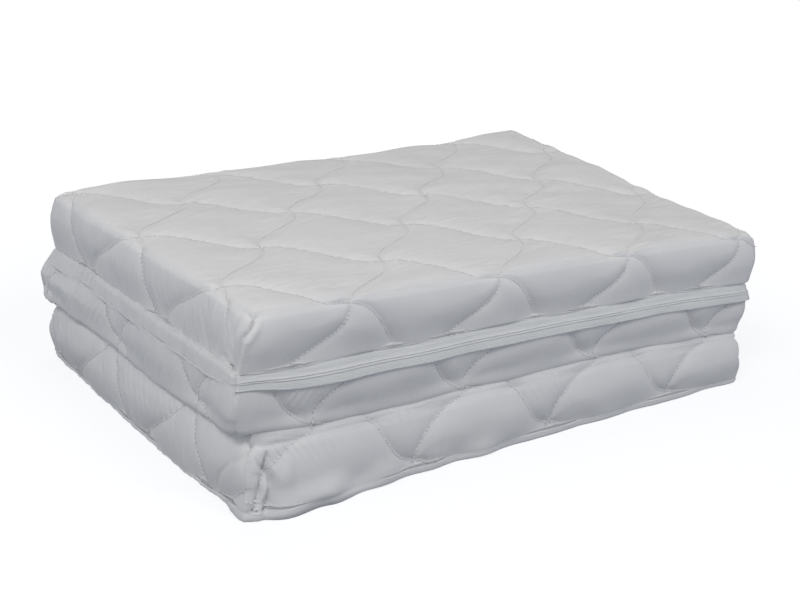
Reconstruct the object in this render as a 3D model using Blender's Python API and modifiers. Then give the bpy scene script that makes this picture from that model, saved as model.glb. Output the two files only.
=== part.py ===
"""Folding cot mattress: three quilted foam panels in a Z-fold, with cloth hinges and a zip.

The closed stack stands on the ground with X along the panels, Y across them and Z up.
"""

from math import acos, atan2, ceil, copysign, cos, floor, hypot, pi, radians, sin, sqrt

import bmesh
import bpy
from mathutils import Matrix, Vector

# Panels
PANEL_LENGTH = 0.600
PANEL_DEPTH = 0.400
PANEL_HEIGHT = 0.060
CORNER_RADIUS = 0.028
EDGE_RADIUS = 0.014
WALL_BULGE = 0.004
PANEL_CROWN = 0.002
LAYER_GAP = 0.0004

# How far the lower panels have slipped from under the top one
BOTTOM_SLIP_X = -0.004
BOTTOM_SLIP_Y = -0.005
MIDDLE_SLIP_X = -0.0055
MIDDLE_SLIP_Y = 0.0027

# Case and foam
CASE_WALL = 0.005
CASE_HOLLOW_EDGE = 0.018
FOAM_CLEARANCE = 0.0005
SEAM_HEIGHT = 0.013
SEAM_GAP = 0.0004
CORNER_TUCK = 0.0015

# Quilting: two families of waved stitch lines that cross at nodes
QUILT_PITCH_X = 0.160
QUILT_PITCH_Y = 0.156
QUILT_DEPTH = 0.003
SWAY_SHARE = 0.032
CELL_SHARE = 1 / 8
TOP_NODE_X = -0.0425
TOP_NODE_Y = -0.048
MIDDLE_NODE_X = -0.071
MIDDLE_NODE_Y = 0.202
BOTTOM_NODE_X = 0.110
BOTTOM_NODE_Y = -0.164

# Hinge cloth
HINGE_CLOTH = 0.001
HINGE_CLEARANCE = 0.0003
HINGE_NOSE = 0.0015
HINGE_MARGIN = 0.0005
LOWER_LEG_SHARES = (0.10, 0.32, 0.54, 0.76)
UPPER_LEG_SHARES = (0.32, 0.40, 0.48)

# Zip
TAPE_THICKNESS = 0.001
UPPER_TAPE_WIDTH = 0.0073
LOWER_TAPE_WIDTH = 0.0078
TAPE_START = 0.011
TAPE_SPLIT = 0.0014
TAPE_CLEARANCE = 0.0003
COIL_WIDTH = 0.0019
COIL_HEIGHT = 0.0017
ZIP_END = 0.030
SLOT_DEPTH = 0.010
SLOT_OVERRUN = 0.005

# Slider and pull
SLIDER_LENGTH = 0.010
SLIDER_WIDTH = 0.0072
SLIDER_PLATE = 0.0009
SLIDER_POST = 0.0007
SLIDER_CLEARANCE = 0.00035
CROWN_LENGTH = 0.0068
CROWN_WIDTH = 0.0026
CROWN_STRIP = 0.0009
PULL_BAR = 0.0010
PULL_LENGTH = 0.022
PULL_WIDTH = 0.0056
PULL_END_WIDTH = 0.0044
PULL_EYE_LENGTH = 0.0034
PULL_HOLE = 0.0014

# Facets
WELD = 0.00001
LINE_SPACING = 0.006
ARC_SEGMENTS = 6
FACING_SHARE = 0.9
CHAMFER_SHARE = 0.25
SMOOTH_DEGREES = 35

STACK_STEP = PANEL_HEIGHT + LAYER_GAP

CLOTH_WHITE = (0.72, 0.73, 0.77, 1.0)
CLOTH_SHADE = (0.66, 0.67, 0.72, 1.0)
FOAM_CREAM = (0.86, 0.80, 0.62, 1.0)
TAPE_WHITE = (0.76, 0.78, 0.77, 1.0)
COIL_WHITE = (0.70, 0.72, 0.72, 1.0)
METAL_GREY = (0.60, 0.61, 0.62, 1.0)
CLOTH_ROUGHNESS = 0.85
FOAM_ROUGHNESS = 0.95
TAPE_ROUGHNESS = 0.7
METAL_ROUGHNESS = 0.35


class CaseForm:
    """The surface of a panel, or of a skin that lies a set distance inside it.

    A place on it is given as on a flat sheet laid over the panel: the distances from its
    middle, over the edge and down the wall. Its twin is a sharp box of the same distances.
    """

    def __init__(self, inset=0.0, edge=EDGE_RADIUS):
        self.edge = edge
        self.low = inset
        self.high = PANEL_HEIGHT - inset
        self.core_x = PANEL_LENGTH / 2 - CORNER_RADIUS
        self.core_y = PANEL_DEPTH / 2 - CORNER_RADIUS
        self.flat = CORNER_RADIUS - inset - edge
        self.quarter = self.edge * pi / 2
        self.ring = self.flat + self.quarter / 2
        self.wall = self.high - self.low - 2 * self.edge
        self.whole = 2 * self.quarter + self.wall
        self.sharp_x = self.core_x + self.ring
        self.sharp_y = self.core_y + self.ring
        self.sharp_z = self.wall + self.quarter

    def profile(self, run):
        """Reach from the corner's middle, height and lean, a distance past the flat face."""
        if run <= 0:
            lean = 0.0
            reach = self.flat + run
            height = self.high
        elif run < self.quarter:
            lean = run / self.edge
            reach = self.flat + self.edge * sin(lean)
            height = self.high - self.edge * (1 - cos(lean))
        elif run < self.quarter + self.wall:
            lean = pi / 2
            reach = self.flat + self.edge
            height = self.high - self.edge - (run - self.quarter)
        elif run < self.whole:
            lean = (run - self.wall) / self.edge
            reach = self.flat + self.edge * sin(lean)
            height = self.low + self.edge * (1 + cos(lean))
        else:
            lean = pi
            reach = self.flat - (run - self.whole)
            height = self.low
        level = height / PANEL_HEIGHT
        swell = WALL_BULGE * sin(lean) * (4 * level * (1 - level)) ** 2
        return reach + swell, height, lean

    def off_edge(self, run, distance):
        """Reach, height and lean of a place by a long edge, a distance clear of the cloth."""
        shrink = 1 - PANEL_CROWN / PANEL_HEIGHT
        reach, height, _ = self.profile(run)
        reach_before, height_before, _ = self.profile(run - WELD)
        reach_after, height_after, _ = self.profile(run + WELD)
        lean = atan2(shrink * (height_before - height_after), reach_after - reach_before)
        return reach + distance * sin(lean), height * shrink + distance * cos(lean), lean

    def run_at(self, height):
        """The distance past the flat face at which the wall is at this height."""
        if height >= self.low + self.edge:
            return self.quarter + self.high - self.edge - height
        return self.wall + self.edge * acos((height - self.low) / self.edge - 1)

    def level_at(self, height):
        """The sharp box's height where the wall is at this height."""
        return self.sharp_z + self.quarter / 2 - self.run_at(height)

    def unfold(self, point):
        """The sheet place of a point on the sharp box."""
        drop = self.sharp_z - point.z
        if abs(abs(point.y) - self.sharp_y) < WELD:
            return point.x, copysign(self.sharp_y + drop, point.y)
        if abs(abs(point.x) - self.sharp_x) < WELD:
            return copysign(self.sharp_x + drop, point.x), point.y
        return point.x, point.y

    def place(self, u, v, under=False, sink=0.0):
        """The point in space of a sheet place, sunk below the surface."""
        over_x = max(abs(u) - self.core_x, 0.0)
        over_y = max(abs(v) - self.core_y, 0.0)
        over = max(over_x, over_y)
        turn = 0.0
        if over > 0:
            turn = pi / 4 * min(over_x, over_y) / min(over, self.ring)
        run = over - self.flat
        if under:
            run = self.whole - run
        reach, height, lean = self.profile(run)
        if over == 0:
            reach = 0.0
        reach -= sink * sin(lean)
        height -= sink * cos(lean)
        along_x, along_y = cos(turn), sin(turn)
        if over_y > over_x:
            along_x, along_y = along_y, along_x
        x = copysign(min(abs(u), self.core_x) + reach * along_x, u)
        y = copysign(min(abs(v), self.core_y) + reach * along_y, v)
        return Vector((x, y, crowned(x, y, height)))


def arch(distance, half):
    """One in the middle of a face and none at its edge."""
    return max(0.0, 1 - (distance / half) ** 2)


def crowned(x, y, height):
    """A height lowered towards the panel's edges, so that its face is crowned."""
    arch_x = arch(x, PANEL_LENGTH / 2 - EDGE_RADIUS)
    arch_y = arch(y, PANEL_DEPTH / 2 - EDGE_RADIUS)
    return height * (1 - PANEL_CROWN / PANEL_HEIGHT * (1 - arch_x * arch_y))


class Quilting:
    """Waved stitch lines on a case, set out from one crossing of them."""

    def __init__(self, form, node_x, node_y):
        self.form = form
        self.node_x = node_x
        self.node_y = node_y
        self.foot = form.sharp_y + form.sharp_z - form.level_at(SEAM_HEIGHT)
        self.side_foot = self.foot - form.sharp_y + form.sharp_x

    def phases(self, u, v):
        """How many stitch lines of each family lie between the node and a sheet place."""
        across = (u - self.node_x) / QUILT_PITCH_X
        up = (v - self.node_y) / QUILT_PITCH_Y
        return across + up, across - up

    def hold(self, u, v):
        """None at a corner seam or the case's foot, and one a cell away from them."""
        cell = QUILT_PITCH_X * CELL_SHARE
        corner = hypot(
            max(self.form.sharp_x - abs(u), 0.0), max(self.form.sharp_y - abs(v), 0.0)
        )
        foot = min(self.foot - abs(v), self.side_foot - abs(u))
        return min(corner / cell, 1.0), max(min(foot / cell, 1.0), 0.0)

    def swayed(self, u, v):
        """A sheet place moved sideways, so that straight lines through the nodes wave."""
        corner, foot = self.hold(u, v)
        amount = min(corner, foot)
        wave_x = sin(4 * pi * (v - self.node_y) / QUILT_PITCH_Y)
        wave_y = sin(4 * pi * (u - self.node_x) / QUILT_PITCH_X)
        u_moved = u - amount * SWAY_SHARE * QUILT_PITCH_X * wave_x
        v_moved = v + amount * SWAY_SHARE * QUILT_PITCH_Y * wave_y
        return u_moved, v_moved

    def sink(self, u, v):
        """How deep the cloth lies below the case's full form."""
        first, second = self.phases(u, v)
        puff = sqrt(abs(sin(pi * first) * sin(pi * second)))
        corner, foot = self.hold(u, v)
        channel = QUILT_DEPTH * (1 - puff) * foot
        return CORNER_TUCK * (1 - corner) + channel * corner


def material(name, colour, roughness, metallic=0.0):
    """A plain surface of one colour."""
    made = bpy.data.materials.new(name)
    made.use_nodes = True
    shader = made.node_tree.nodes["Principled BSDF"]
    shader.inputs["Base Color"].default_value = colour
    shader.inputs["Roughness"].default_value = roughness
    shader.inputs["Metallic"].default_value = metallic
    made.diffuse_color = colour
    return made


def lines_between(low, high, start, step, form_lines):
    """Pattern lines between two limits, and the form's own lines where none is near."""
    first = ceil((low - start) / step)
    last = floor((high - start) / step)
    lines = [start + step * count for count in range(first, last + 1)]
    margin = LINE_SPACING / 2
    lines = [line for line in lines if low + margin < line < high - margin]
    for line in form_lines:
        clear = all(abs(line - other) > LINE_SPACING for other in lines)
        if clear and low + margin < line < high - margin:
            lines.append(line)
    return lines


class Patch:
    """One flat side of the sharp box, with the sheet distances that run over it."""

    def __init__(self, facing, u_slope, u_start, v_slope, v_start, u_span, v_span):
        self.facing = Vector(facing)
        self.u_slope = Vector(u_slope)
        self.u_start = u_start
        self.v_slope = Vector(v_slope)
        self.v_start = v_start
        self.u_span = u_span
        self.v_span = v_span

    def cut(self, bm, along_u, along_v, value):
        """Cuts this side where a straight line of the sheet crosses it."""
        normal = self.u_slope * along_u + self.v_slope * along_v
        level = value - along_u * self.u_start - along_v * self.v_start
        point = normal * (level / normal.length_squared)
        faces = [face for face in bm.faces if face.normal.dot(self.facing) > FACING_SHARE]
        edges = {edge for face in faces for edge in face.edges}
        verts = {vert for face in faces for vert in face.verts}
        bmesh.ops.bisect_plane(
            bm,
            geom=list(verts) + list(edges) + faces,
            dist=WELD,
            plane_co=point,
            plane_no=normal.normalized(),
        )
        bm.normal_update()


def patches_of(form, foot_level):
    """The top and the four walls of a form's sharp box, down to a level of the walls."""
    x, y, z = form.sharp_x, form.sharp_y, form.sharp_z
    drop = z - foot_level
    made = [Patch((0, 0, 1), (1, 0, 0), 0, (0, 1, 0), 0, (-x, x), (-y, y))]
    for side in (-1, 1):
        span_y = sorted((side * y, side * (y + drop)))
        span_x = sorted((side * x, side * (x + drop)))
        made.append(
            Patch((0, side, 0), (1, 0, 0), 0, (0, 0, -side), side * (y + z), (-x, x), span_y)
        )
        made.append(
            Patch((side, 0, 0), (0, 0, -side), side * (x + z), (0, 1, 0), 0, span_x, (-y, y))
        )
    return made


def cut_pattern(bm, form, quilting, foot_level):
    """Cuts the sharp box along the stitch lines and along a grid that follows them."""
    step_x = QUILT_PITCH_X * CELL_SHARE
    step_y = QUILT_PITCH_Y * CELL_SHARE
    runs = (form.flat, form.flat + form.quarter + form.wall / 2)
    lines_x = [side * (form.core_x + run) for side in (-1, 1) for run in runs]
    lines_y = [side * (form.core_y + run) for side in (-1, 1) for run in runs]
    for patch in patches_of(form, foot_level):
        for line in lines_between(*patch.u_span, quilting.node_x, step_x, lines_x):
            patch.cut(bm, 1, 0, line)
        for line in lines_between(*patch.v_span, quilting.node_y, step_y, lines_y):
            patch.cut(bm, 0, 1, line)
        corners = [quilting.phases(u, v) for u in patch.u_span for v in patch.v_span]
        for family, way in ((0, 1), (1, -1)):
            phases = [corner[family] for corner in corners]
            for count in range(ceil(min(phases)), floor(max(phases)) + 1):
                start = quilting.node_x / QUILT_PITCH_X + way * quilting.node_y / QUILT_PITCH_Y
                patch.cut(bm, 1 / QUILT_PITCH_X, way / QUILT_PITCH_Y, count + start)


def sharp_box(form, low, high):
    """A new mesh of the form's sharp box, between two levels of its walls."""
    bm = bmesh.new()
    size = Matrix.Diagonal((2 * form.sharp_x, 2 * form.sharp_y, high - low, 1))
    bmesh.ops.create_cube(bm, size=1, matrix=Matrix.Translation((0, 0, (low + high) / 2)) @ size)
    bm.normal_update()
    return bm


def open_side(bm, facing):
    """Takes away the box's top or underside."""
    faces = [face for face in bm.faces if face.normal.z * facing > FACING_SHARE]
    bmesh.ops.delete(bm, geom=faces, context="FACES_ONLY")


def close_side(bm):
    """Closes an open rim with one flat face, and makes triangles of the rest."""
    rim = [edge for edge in bm.edges if edge.is_boundary]
    cap = set(bmesh.ops.holes_fill(bm, edges=rim, sides=0)["faces"])
    bmesh.ops.recalc_face_normals(bm, faces=bm.faces[:])
    bmesh.ops.triangulate(bm, faces=[face for face in bm.faces if face not in cap])


def to_mesh(bm, name):
    """Turns the working mesh into a finished one, smooth but for its sharp edges."""
    mesh = bpy.data.meshes.new(name)
    bm.to_mesh(mesh)
    bm.free()
    mesh.shade_smooth()
    mesh.set_sharp_from_angle(angle=radians(SMOOTH_DEGREES))
    return mesh


def quilted_mesh(name, quilting):
    """The outside of a quilted case: its face and walls down to the seam."""
    form = quilting.form
    foot_level = form.level_at(SEAM_HEIGHT + SEAM_GAP / 2)
    bm = sharp_box(form, foot_level, form.sharp_z)
    open_side(bm, -1)
    cut_pattern(bm, form, quilting, foot_level)
    for vert in bm.verts:
        u, v = form.unfold(vert.co)
        vert.co = form.place(*quilting.swayed(u, v), sink=quilting.sink(u, v))
    close_side(bm)
    return to_mesh(bm, name)


def plain_mesh(name, form, top=None):
    """A panel's plain form, or a skin inside it, whole or only up to a height."""
    high = form.sharp_z if top is None else form.level_at(top)
    bm = sharp_box(form, 0.0, high)
    if top is not None:
        open_side(bm, 1)
    rings = (0.0, form.flat) if form.flat > LINE_SPACING else (form.flat,)
    for side in (-1, 1):
        for ring in rings:
            cut_through(bm, (side, 0, 0), form.core_x + ring)
            cut_through(bm, (0, side, 0), form.core_y + ring)
    cut_through(bm, (1, 0, 0), 0.0)
    cut_through(bm, (0, 1, 0), 0.0)
    levels = [form.quarter / 2]
    if top is None:
        levels.append(form.sharp_z - form.quarter / 2)
    for line in levels:
        cut_through(bm, (0, 0, 1), line)
    for vert in bm.verts:
        inside = abs(vert.co.x) < form.sharp_x - WELD and abs(vert.co.y) < form.sharp_y - WELD
        under = inside and vert.co.z < WELD
        if under:
            vert.co = form.place(vert.co.x, vert.co.y, under=True)
        else:
            vert.co = form.place(*form.unfold(vert.co))
    close_side(bm)
    return to_mesh(bm, name)


def cut_through(bm, normal, distance):
    """Cuts the whole mesh with a plane that lies a distance along its normal."""
    normal = Vector(normal)
    geometry = bm.verts[:] + bm.edges[:] + bm.faces[:]
    point = normal * distance
    bmesh.ops.bisect_plane(bm, geom=geometry, dist=WELD, plane_co=point, plane_no=normal)
    bm.normal_update()


class Panel:
    """Where one panel lies in the stack, and which way up it is."""

    def __init__(self, name, level, slip_x, slip_y, node_x, node_y, flipped=False):
        self.name = name
        self.base = level * STACK_STEP
        self.x = slip_x - stack_middle(0.0, BOTTOM_SLIP_X, MIDDLE_SLIP_X)
        self.y = slip_y - stack_middle(0.0, BOTTOM_SLIP_Y, MIDDLE_SLIP_Y)
        self.node_x = node_x
        self.node_y = node_y
        self.flipped = flipped

    def matrix(self):
        """The panel's place, turned over about X where its quilted face looks down."""
        if self.flipped:
            shift = Matrix.Translation((self.x, self.y, self.base + PANEL_HEIGHT))
            return shift @ Matrix.Rotation(pi, 4, "X")
        return Matrix.Translation((self.x, self.y, self.base))

    def back(self):
        """The Y of the panel's furthest point at the back."""
        return self.y + PANEL_DEPTH / 2 + WALL_BULGE

    def front(self):
        """The Y of the panel's furthest point at the front."""
        return self.y - PANEL_DEPTH / 2 - WALL_BULGE


def stack_middle(*slips):
    """The middle of the stack's span in one direction."""
    return (min(slips) + max(slips)) / 2


def add_object(name, mesh, collection, matrix, parent=None, finish=None):
    """Puts a mesh in the model at its place, under its pivot."""
    made = bpy.data.objects.new(name, mesh)
    collection.objects.link(made)
    if parent is not None:
        made.parent = parent
        made.matrix_basis = parent.matrix_basis.inverted() @ matrix
    else:
        made.matrix_basis = matrix
    if finish is not None:
        mesh.materials.append(finish)
    return made


def add_pivot(name, collection, point):
    """An empty on the axis that a panel turns on."""
    made = bpy.data.objects.new(name, None)
    made.empty_display_size = CORNER_RADIUS
    made.matrix_basis = Matrix.Translation(point)
    collection.objects.link(made)
    return made


def add_cutter(name, mesh, collection, matrix, parent):
    """A shape that is only taken away from others."""
    made = add_object(name, mesh, collection, matrix, parent)
    made.hide_render = True
    made.display_type = "WIRE"
    return made


def take_away(piece, cutter):
    """Cuts one closed shape out of another."""
    boolean = piece.modifiers.new("cut", "BOOLEAN")
    boolean.operation = "DIFFERENCE"
    boolean.solver = "EXACT"
    boolean.object = cutter


def build_panel(panel, parts, cutters, pivot):
    """Foam, quilted cover and base cloth of one panel."""
    outside = CaseForm()
    inside = CaseForm(CASE_WALL, CASE_HOLLOW_EDGE)
    block = CaseForm(CASE_WALL + FOAM_CLEARANCE, CASE_HOLLOW_EDGE - FOAM_CLEARANCE)
    place = panel.matrix()
    quilting = Quilting(outside, panel.node_x, panel.node_y)
    hollow = add_cutter(
        f"{panel.name}_hollow", plain_mesh("hollow", inside), cutters, place, pivot
    )
    cover = add_object(
        f"{panel.name}_quilted_cover",
        quilted_mesh("quilted_cover", quilting),
        parts,
        place,
        pivot,
        material(f"{panel.name}_cover_cloth", CLOTH_WHITE, CLOTH_ROUGHNESS),
    )
    take_away(cover, hollow)
    base = add_object(
        f"{panel.name}_base_cloth",
        plain_mesh("base_cloth", outside, SEAM_HEIGHT - SEAM_GAP / 2),
        parts,
        place,
        pivot,
        material(f"{panel.name}_base_cloth", CLOTH_SHADE, CLOTH_ROUGHNESS),
    )
    take_away(base, hollow)
    add_object(
        f"{panel.name}_foam_core",
        plain_mesh("foam_core", block),
        parts,
        place,
        pivot,
        material(f"{panel.name}_foam", FOAM_CREAM, FOAM_ROUGHNESS),
    )
    return cover, base


def lip(run, distance, closing_side):
    """Reach and height of a place by a panel's long edge, a distance clear of its cloth."""
    form = CaseForm()
    if closing_side:
        run = form.whole - run
    reach, height, _ = form.off_edge(run, distance)
    return form.core_y + reach, height


def hinge_profile(lower, upper, way, closing_side, leg_shares):
    """The folded cloth's line across its length, as points of Y and Z.

    It runs up the lower panel's edge, across the fold's nose and down the upper panel's.
    """
    away = HINGE_CLEARANCE + HINGE_CLOTH / 2
    runs = [share * CaseForm().quarter for share in leg_shares]
    lower_leg = []
    upper_leg = []
    for run in runs:
        out, height = lip(run, away, closing_side)
        if closing_side:
            above, below = height, PANEL_HEIGHT - height
        else:
            above, below = PANEL_HEIGHT - height, height
        lower_leg.append(Vector((0, lower.y + way * out, lower.base + below)))
        upper_leg.append(Vector((0, upper.y + way * out, upper.base + above)))
    nose = (lower_leg[-1] + upper_leg[-1]) / 2 + Vector((0, way * HINGE_NOSE, 0))
    return lower_leg + [nose] + upper_leg[::-1]


def hinge_mesh(name, points, length):
    """A ribbon of cloth that runs along X with the given line across it."""
    bm = bmesh.new()
    verts = [bm.verts.new(point - Vector((length / 2, 0, 0))) for point in points]
    edges = [bm.edges.new(pair) for pair in zip(verts, verts[1:])]
    ribbon = bmesh.ops.extrude_edge_only(bm, edges=edges)["geom"]
    moved = [item for item in ribbon if isinstance(item, bmesh.types.BMVert)]
    bmesh.ops.translate(bm, verts=moved, vec=(length, 0, 0))
    bmesh.ops.recalc_face_normals(bm, faces=bm.faces[:])
    return to_mesh(bm, name)


def build_hinge(name, lower, upper, way, closing_side, leg_shares, parts, pivot):
    """One cloth hinge between two panels of the stack."""
    points = hinge_profile(lower, upper, way, closing_side, leg_shares)
    origin = pivot.matrix_basis.translation
    length = 2 * CaseForm().core_x
    mesh = hinge_mesh(name, [point - origin for point in points], length)
    middle = (lower.x + upper.x) / 2
    shift = Matrix.Translation(Vector((middle, origin.y, origin.z)))
    finish = material(f"{name}_cloth", CLOTH_SHADE, CLOTH_ROUGHNESS)
    strip = add_object(name, mesh, parts, shift, pivot, finish)
    cloth = strip.modifiers.new("cloth", "SOLIDIFY")
    cloth.thickness = HINGE_CLOTH
    cloth.offset = 0.0
    cloth.use_even_offset = True


def zip_path():
    """The zip's line in plan, along the panel's long edge and round one corner."""
    form = CaseForm()
    half_x = PANEL_LENGTH / 2
    half_y = PANEL_DEPTH / 2
    points = [Vector((-form.core_x, half_y, 0))]
    for count in range(ARC_SEGMENTS + 1):
        turn = pi / 2 * (1 - count / ARC_SEGMENTS)
        reach = Vector((cos(turn), sin(turn), 0)) * CORNER_RADIUS
        points.append(Vector((form.core_x, form.core_y, 0)) + reach)
    points.append(Vector((half_x, ZIP_END - form.core_y, 0)))
    return points


def band_point(run, distance):
    """A place across the zip, as a distance out from its line in plan and a height."""
    form = CaseForm()
    reach, height, _ = form.off_edge(form.whole - run, distance)
    return reach - CORNER_RADIUS, height


def band_outline(start, end, inner, outer, segments=ARC_SEGMENTS):
    """The section of a band that follows the closing side's edge, as closed points."""
    steps = [start + (end - start) * count / segments for count in range(segments + 1)]
    out = [band_point(run, outer) for run in steps]
    back = [band_point(run, inner) for run in reversed(steps)]
    return out + back


def bead_outline(start, end, inner, outer):
    """The section of a row of coil: a bar with its four corners cut off."""
    width = end - start
    depth = outer - inner
    near = CHAMFER_SHARE
    far = 1 - CHAMFER_SHARE
    low_side = ((near, 0), (far, 0), (1, near), (1, far))
    high_side = ((far, 1), (near, 1), (0, far), (0, near))
    return [band_point(start + width * a, inner + depth * b) for a, b in low_side + high_side]


def swept_mesh(name, outline, path):
    """A solid that carries a closed section along a line in plan."""
    section = bpy.data.curves.new(f"{name}_section", "CURVE")
    section.dimensions = "2D"
    spline = section.splines.new("POLY")
    spline.points.add(len(outline) - 1)
    for point, (out, height) in zip(spline.points, outline):
        point.co = (-out, height, 0, 1)
    spline.use_cyclic_u = True
    section_object = bpy.data.objects.new(f"{name}_section", section)
    line = bpy.data.curves.new(f"{name}_line", "CURVE")
    line.dimensions = "3D"
    line.twist_mode = "Z_UP"
    spline = line.splines.new("POLY")
    spline.points.add(len(path) - 1)
    for point, place in zip(spline.points, path):
        point.co = (*place, 1)
    line.bevel_mode = "OBJECT"
    line.bevel_object = section_object
    line.use_fill_caps = True
    line_object = bpy.data.objects.new(f"{name}_line", line)
    bpy.context.scene.collection.objects.link(section_object)
    bpy.context.scene.collection.objects.link(line_object)
    bpy.context.view_layer.update()
    evaluated = line_object.evaluated_get(bpy.context.evaluated_depsgraph_get())
    rough = bpy.data.meshes.new_from_object(evaluated)
    bpy.data.objects.remove(line_object)
    bpy.data.objects.remove(section_object)
    bm = bmesh.new()
    bm.from_mesh(rough)
    bpy.data.meshes.remove(rough)
    bmesh.ops.remove_doubles(bm, verts=bm.verts[:], dist=WELD)
    bmesh.ops.recalc_face_normals(bm, faces=bm.faces[:])
    return to_mesh(bm, name)


def build_zip(panel, parts, cutters, pivot, cover, base):
    """Two tapes and two rows of coil, in the slot that they fill in the case."""
    place = panel.matrix()
    path = zip_path()
    upper_end = TAPE_START + UPPER_TAPE_WIDTH
    lower_start = upper_end + TAPE_SPLIT
    lower_end = lower_start + LOWER_TAPE_WIDTH
    coil_outer = -TAPE_THICKNESS - TAPE_CLEARANCE
    coil_inner = coil_outer - COIL_HEIGHT
    sections = {
        "zip_upper_tape": band_outline(TAPE_START, upper_end, -TAPE_THICKNESS, 0.0),
        "zip_lower_tape": band_outline(lower_start, lower_end, -TAPE_THICKNESS, 0.0),
        "zip_upper_coil": bead_outline(upper_end - COIL_WIDTH, upper_end, coil_inner, coil_outer),
        "zip_lower_coil": bead_outline(lower_start, lower_start + COIL_WIDTH, coil_inner, coil_outer),
    }
    for name, outline in sections.items():
        colour = TAPE_WHITE if name.endswith("tape") else COIL_WHITE
        finish = material(f"{name}_cloth", colour, TAPE_ROUGHNESS)
        add_object(name, swept_mesh(name, outline, path), parts, place, pivot, finish)
    slot = band_outline(
        TAPE_START - TAPE_CLEARANCE,
        lower_end + TAPE_CLEARANCE,
        -SLOT_DEPTH,
        SLOT_OVERRUN,
        segments=1,
    )
    slot_path = zip_path()
    slot_path[0] = slot_path[0] - Vector((TAPE_CLEARANCE, 0, 0))
    slot_path[-1] = slot_path[-1] - Vector((0, TAPE_CLEARANCE, 0))
    cutter = add_cutter("zip_slot", swept_mesh("zip_slot", slot, slot_path), cutters, place, pivot)
    take_away(cover, cutter)
    take_away(base, cutter)
    return upper_end + TAPE_SPLIT / 2


def flat_outline_mesh(name, outline, thickness, holes=()):
    """A plate of a flat outline, with its thickness along Z and centred on it."""
    curve = bpy.data.curves.new(name, "CURVE")
    curve.dimensions = "2D"
    curve.fill_mode = "BOTH"
    curve.extrude = thickness / 2
    for points in (outline, *holes):
        spline = curve.splines.new("POLY")
        spline.points.add(len(points) - 1)
        for point, (x, y) in zip(spline.points, points):
            point.co = (x, y, 0, 1)
        spline.use_cyclic_u = True
    made = bpy.data.objects.new(name, curve)
    bpy.context.scene.collection.objects.link(made)
    bpy.context.view_layer.update()
    evaluated = made.evaluated_get(bpy.context.evaluated_depsgraph_get())
    rough = bpy.data.meshes.new_from_object(evaluated)
    bpy.data.objects.remove(made)
    bm = bmesh.new()
    bm.from_mesh(rough)
    bpy.data.meshes.remove(rough)
    bmesh.ops.remove_doubles(bm, verts=bm.verts[:], dist=WELD)
    bmesh.ops.recalc_face_normals(bm, faces=bm.faces[:])
    return to_mesh(bm, name)


def slider_frame(panel, middle_run):
    """The slider's place: X out of the cloth, Y across the zip and Z along its travel."""
    form = CaseForm()
    reach, height, lean = form.off_edge(form.whole - middle_run, 0.0)
    out = Vector((sin(lean), 0, cos(lean)))
    travel = Vector((0, 1, 0))
    across = travel.cross(out)
    end = ZIP_END - form.core_y + SLIDER_LENGTH
    point = Vector((form.core_x + reach, end, height))
    turn = Matrix((out, across, travel)).transposed().to_4x4()
    return panel.matrix() @ Matrix.Translation(point) @ turn


def slider_mesh(name):
    """Two plates on a thin post, with a crown over the outer one for the pull."""
    under = -TAPE_THICKNESS - TAPE_CLEARANCE - COIL_HEIGHT - SLIDER_CLEARANCE
    over = SLIDER_CLEARANCE
    half = SLIDER_WIDTH / 2
    post = SLIDER_POST / 2
    top = over + SLIDER_PLATE
    foot = under - SLIDER_PLATE
    outline = [
        (foot, -half),
        (under, -half),
        (under, -post),
        (over, -post),
        (over, -half),
        (top, -half),
        (top, half),
        (over, half),
        (over, post),
        (under, post),
        (under, half),
        (foot, half),
    ]
    return flat_outline_mesh(name, outline, SLIDER_LENGTH)


def crown_mesh(name):
    """The crown's strip: an arch with its feet a little inside the outer plate."""
    top = SLIDER_CLEARANCE + SLIDER_PLATE
    sunk = top - SLIDER_PLATE / 2
    clear = PULL_BAR + 2 * SLIDER_CLEARANCE
    half = CROWN_LENGTH / 2
    inner = half - CROWN_STRIP
    bend = CROWN_STRIP
    outline = [
        (sunk, -half),
        (top + clear, -half),
        (top + clear + CROWN_STRIP, bend - half),
        (top + clear + CROWN_STRIP, half - bend),
        (top + clear, half),
        (sunk, half),
        (sunk, inner),
        (top + clear, inner),
        (top + clear, -inner),
        (sunk, -inner),
    ]
    return flat_outline_mesh(name, outline, CROWN_WIDTH)


def pull_height():
    """How far out of the cloth the pull's bar lies."""
    return SLIDER_CLEARANCE + SLIDER_PLATE + SLIDER_CLEARANCE + PULL_BAR / 2


def pull_mesh(name):
    """A flat tab with an eye round the crown and a round hole near its free end."""
    half = PULL_WIDTH / 2
    end_half = PULL_END_WIDTH / 2
    far = PULL_LENGTH
    bar = PULL_BAR / 2
    eye_half = CROWN_WIDTH / 2 + SLIDER_CLEARANCE
    round_end = []
    for count in range(ARC_SEGMENTS + 1):
        turn = pi / 2 * (1 - 2 * count / ARC_SEGMENTS)
        round_end.append((far - end_half + end_half * cos(turn), end_half * sin(turn)))
    outline = [(-bar, -half), (-bar, half), (PULL_EYE_LENGTH + 2 * bar, half), *round_end]
    outline.append((PULL_EYE_LENGTH + 2 * bar, -half))
    eye = [
        (bar, -eye_half),
        (bar + PULL_EYE_LENGTH, -eye_half),
        (bar + PULL_EYE_LENGTH, eye_half),
        (bar, eye_half),
    ]
    hole = []
    for count in range(2 * ARC_SEGMENTS):
        turn = pi * count / ARC_SEGMENTS
        hole.append((far - end_half + PULL_HOLE * cos(turn), PULL_HOLE * sin(turn)))
    return flat_outline_mesh(name, outline, PULL_BAR, (eye, hole))


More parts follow.
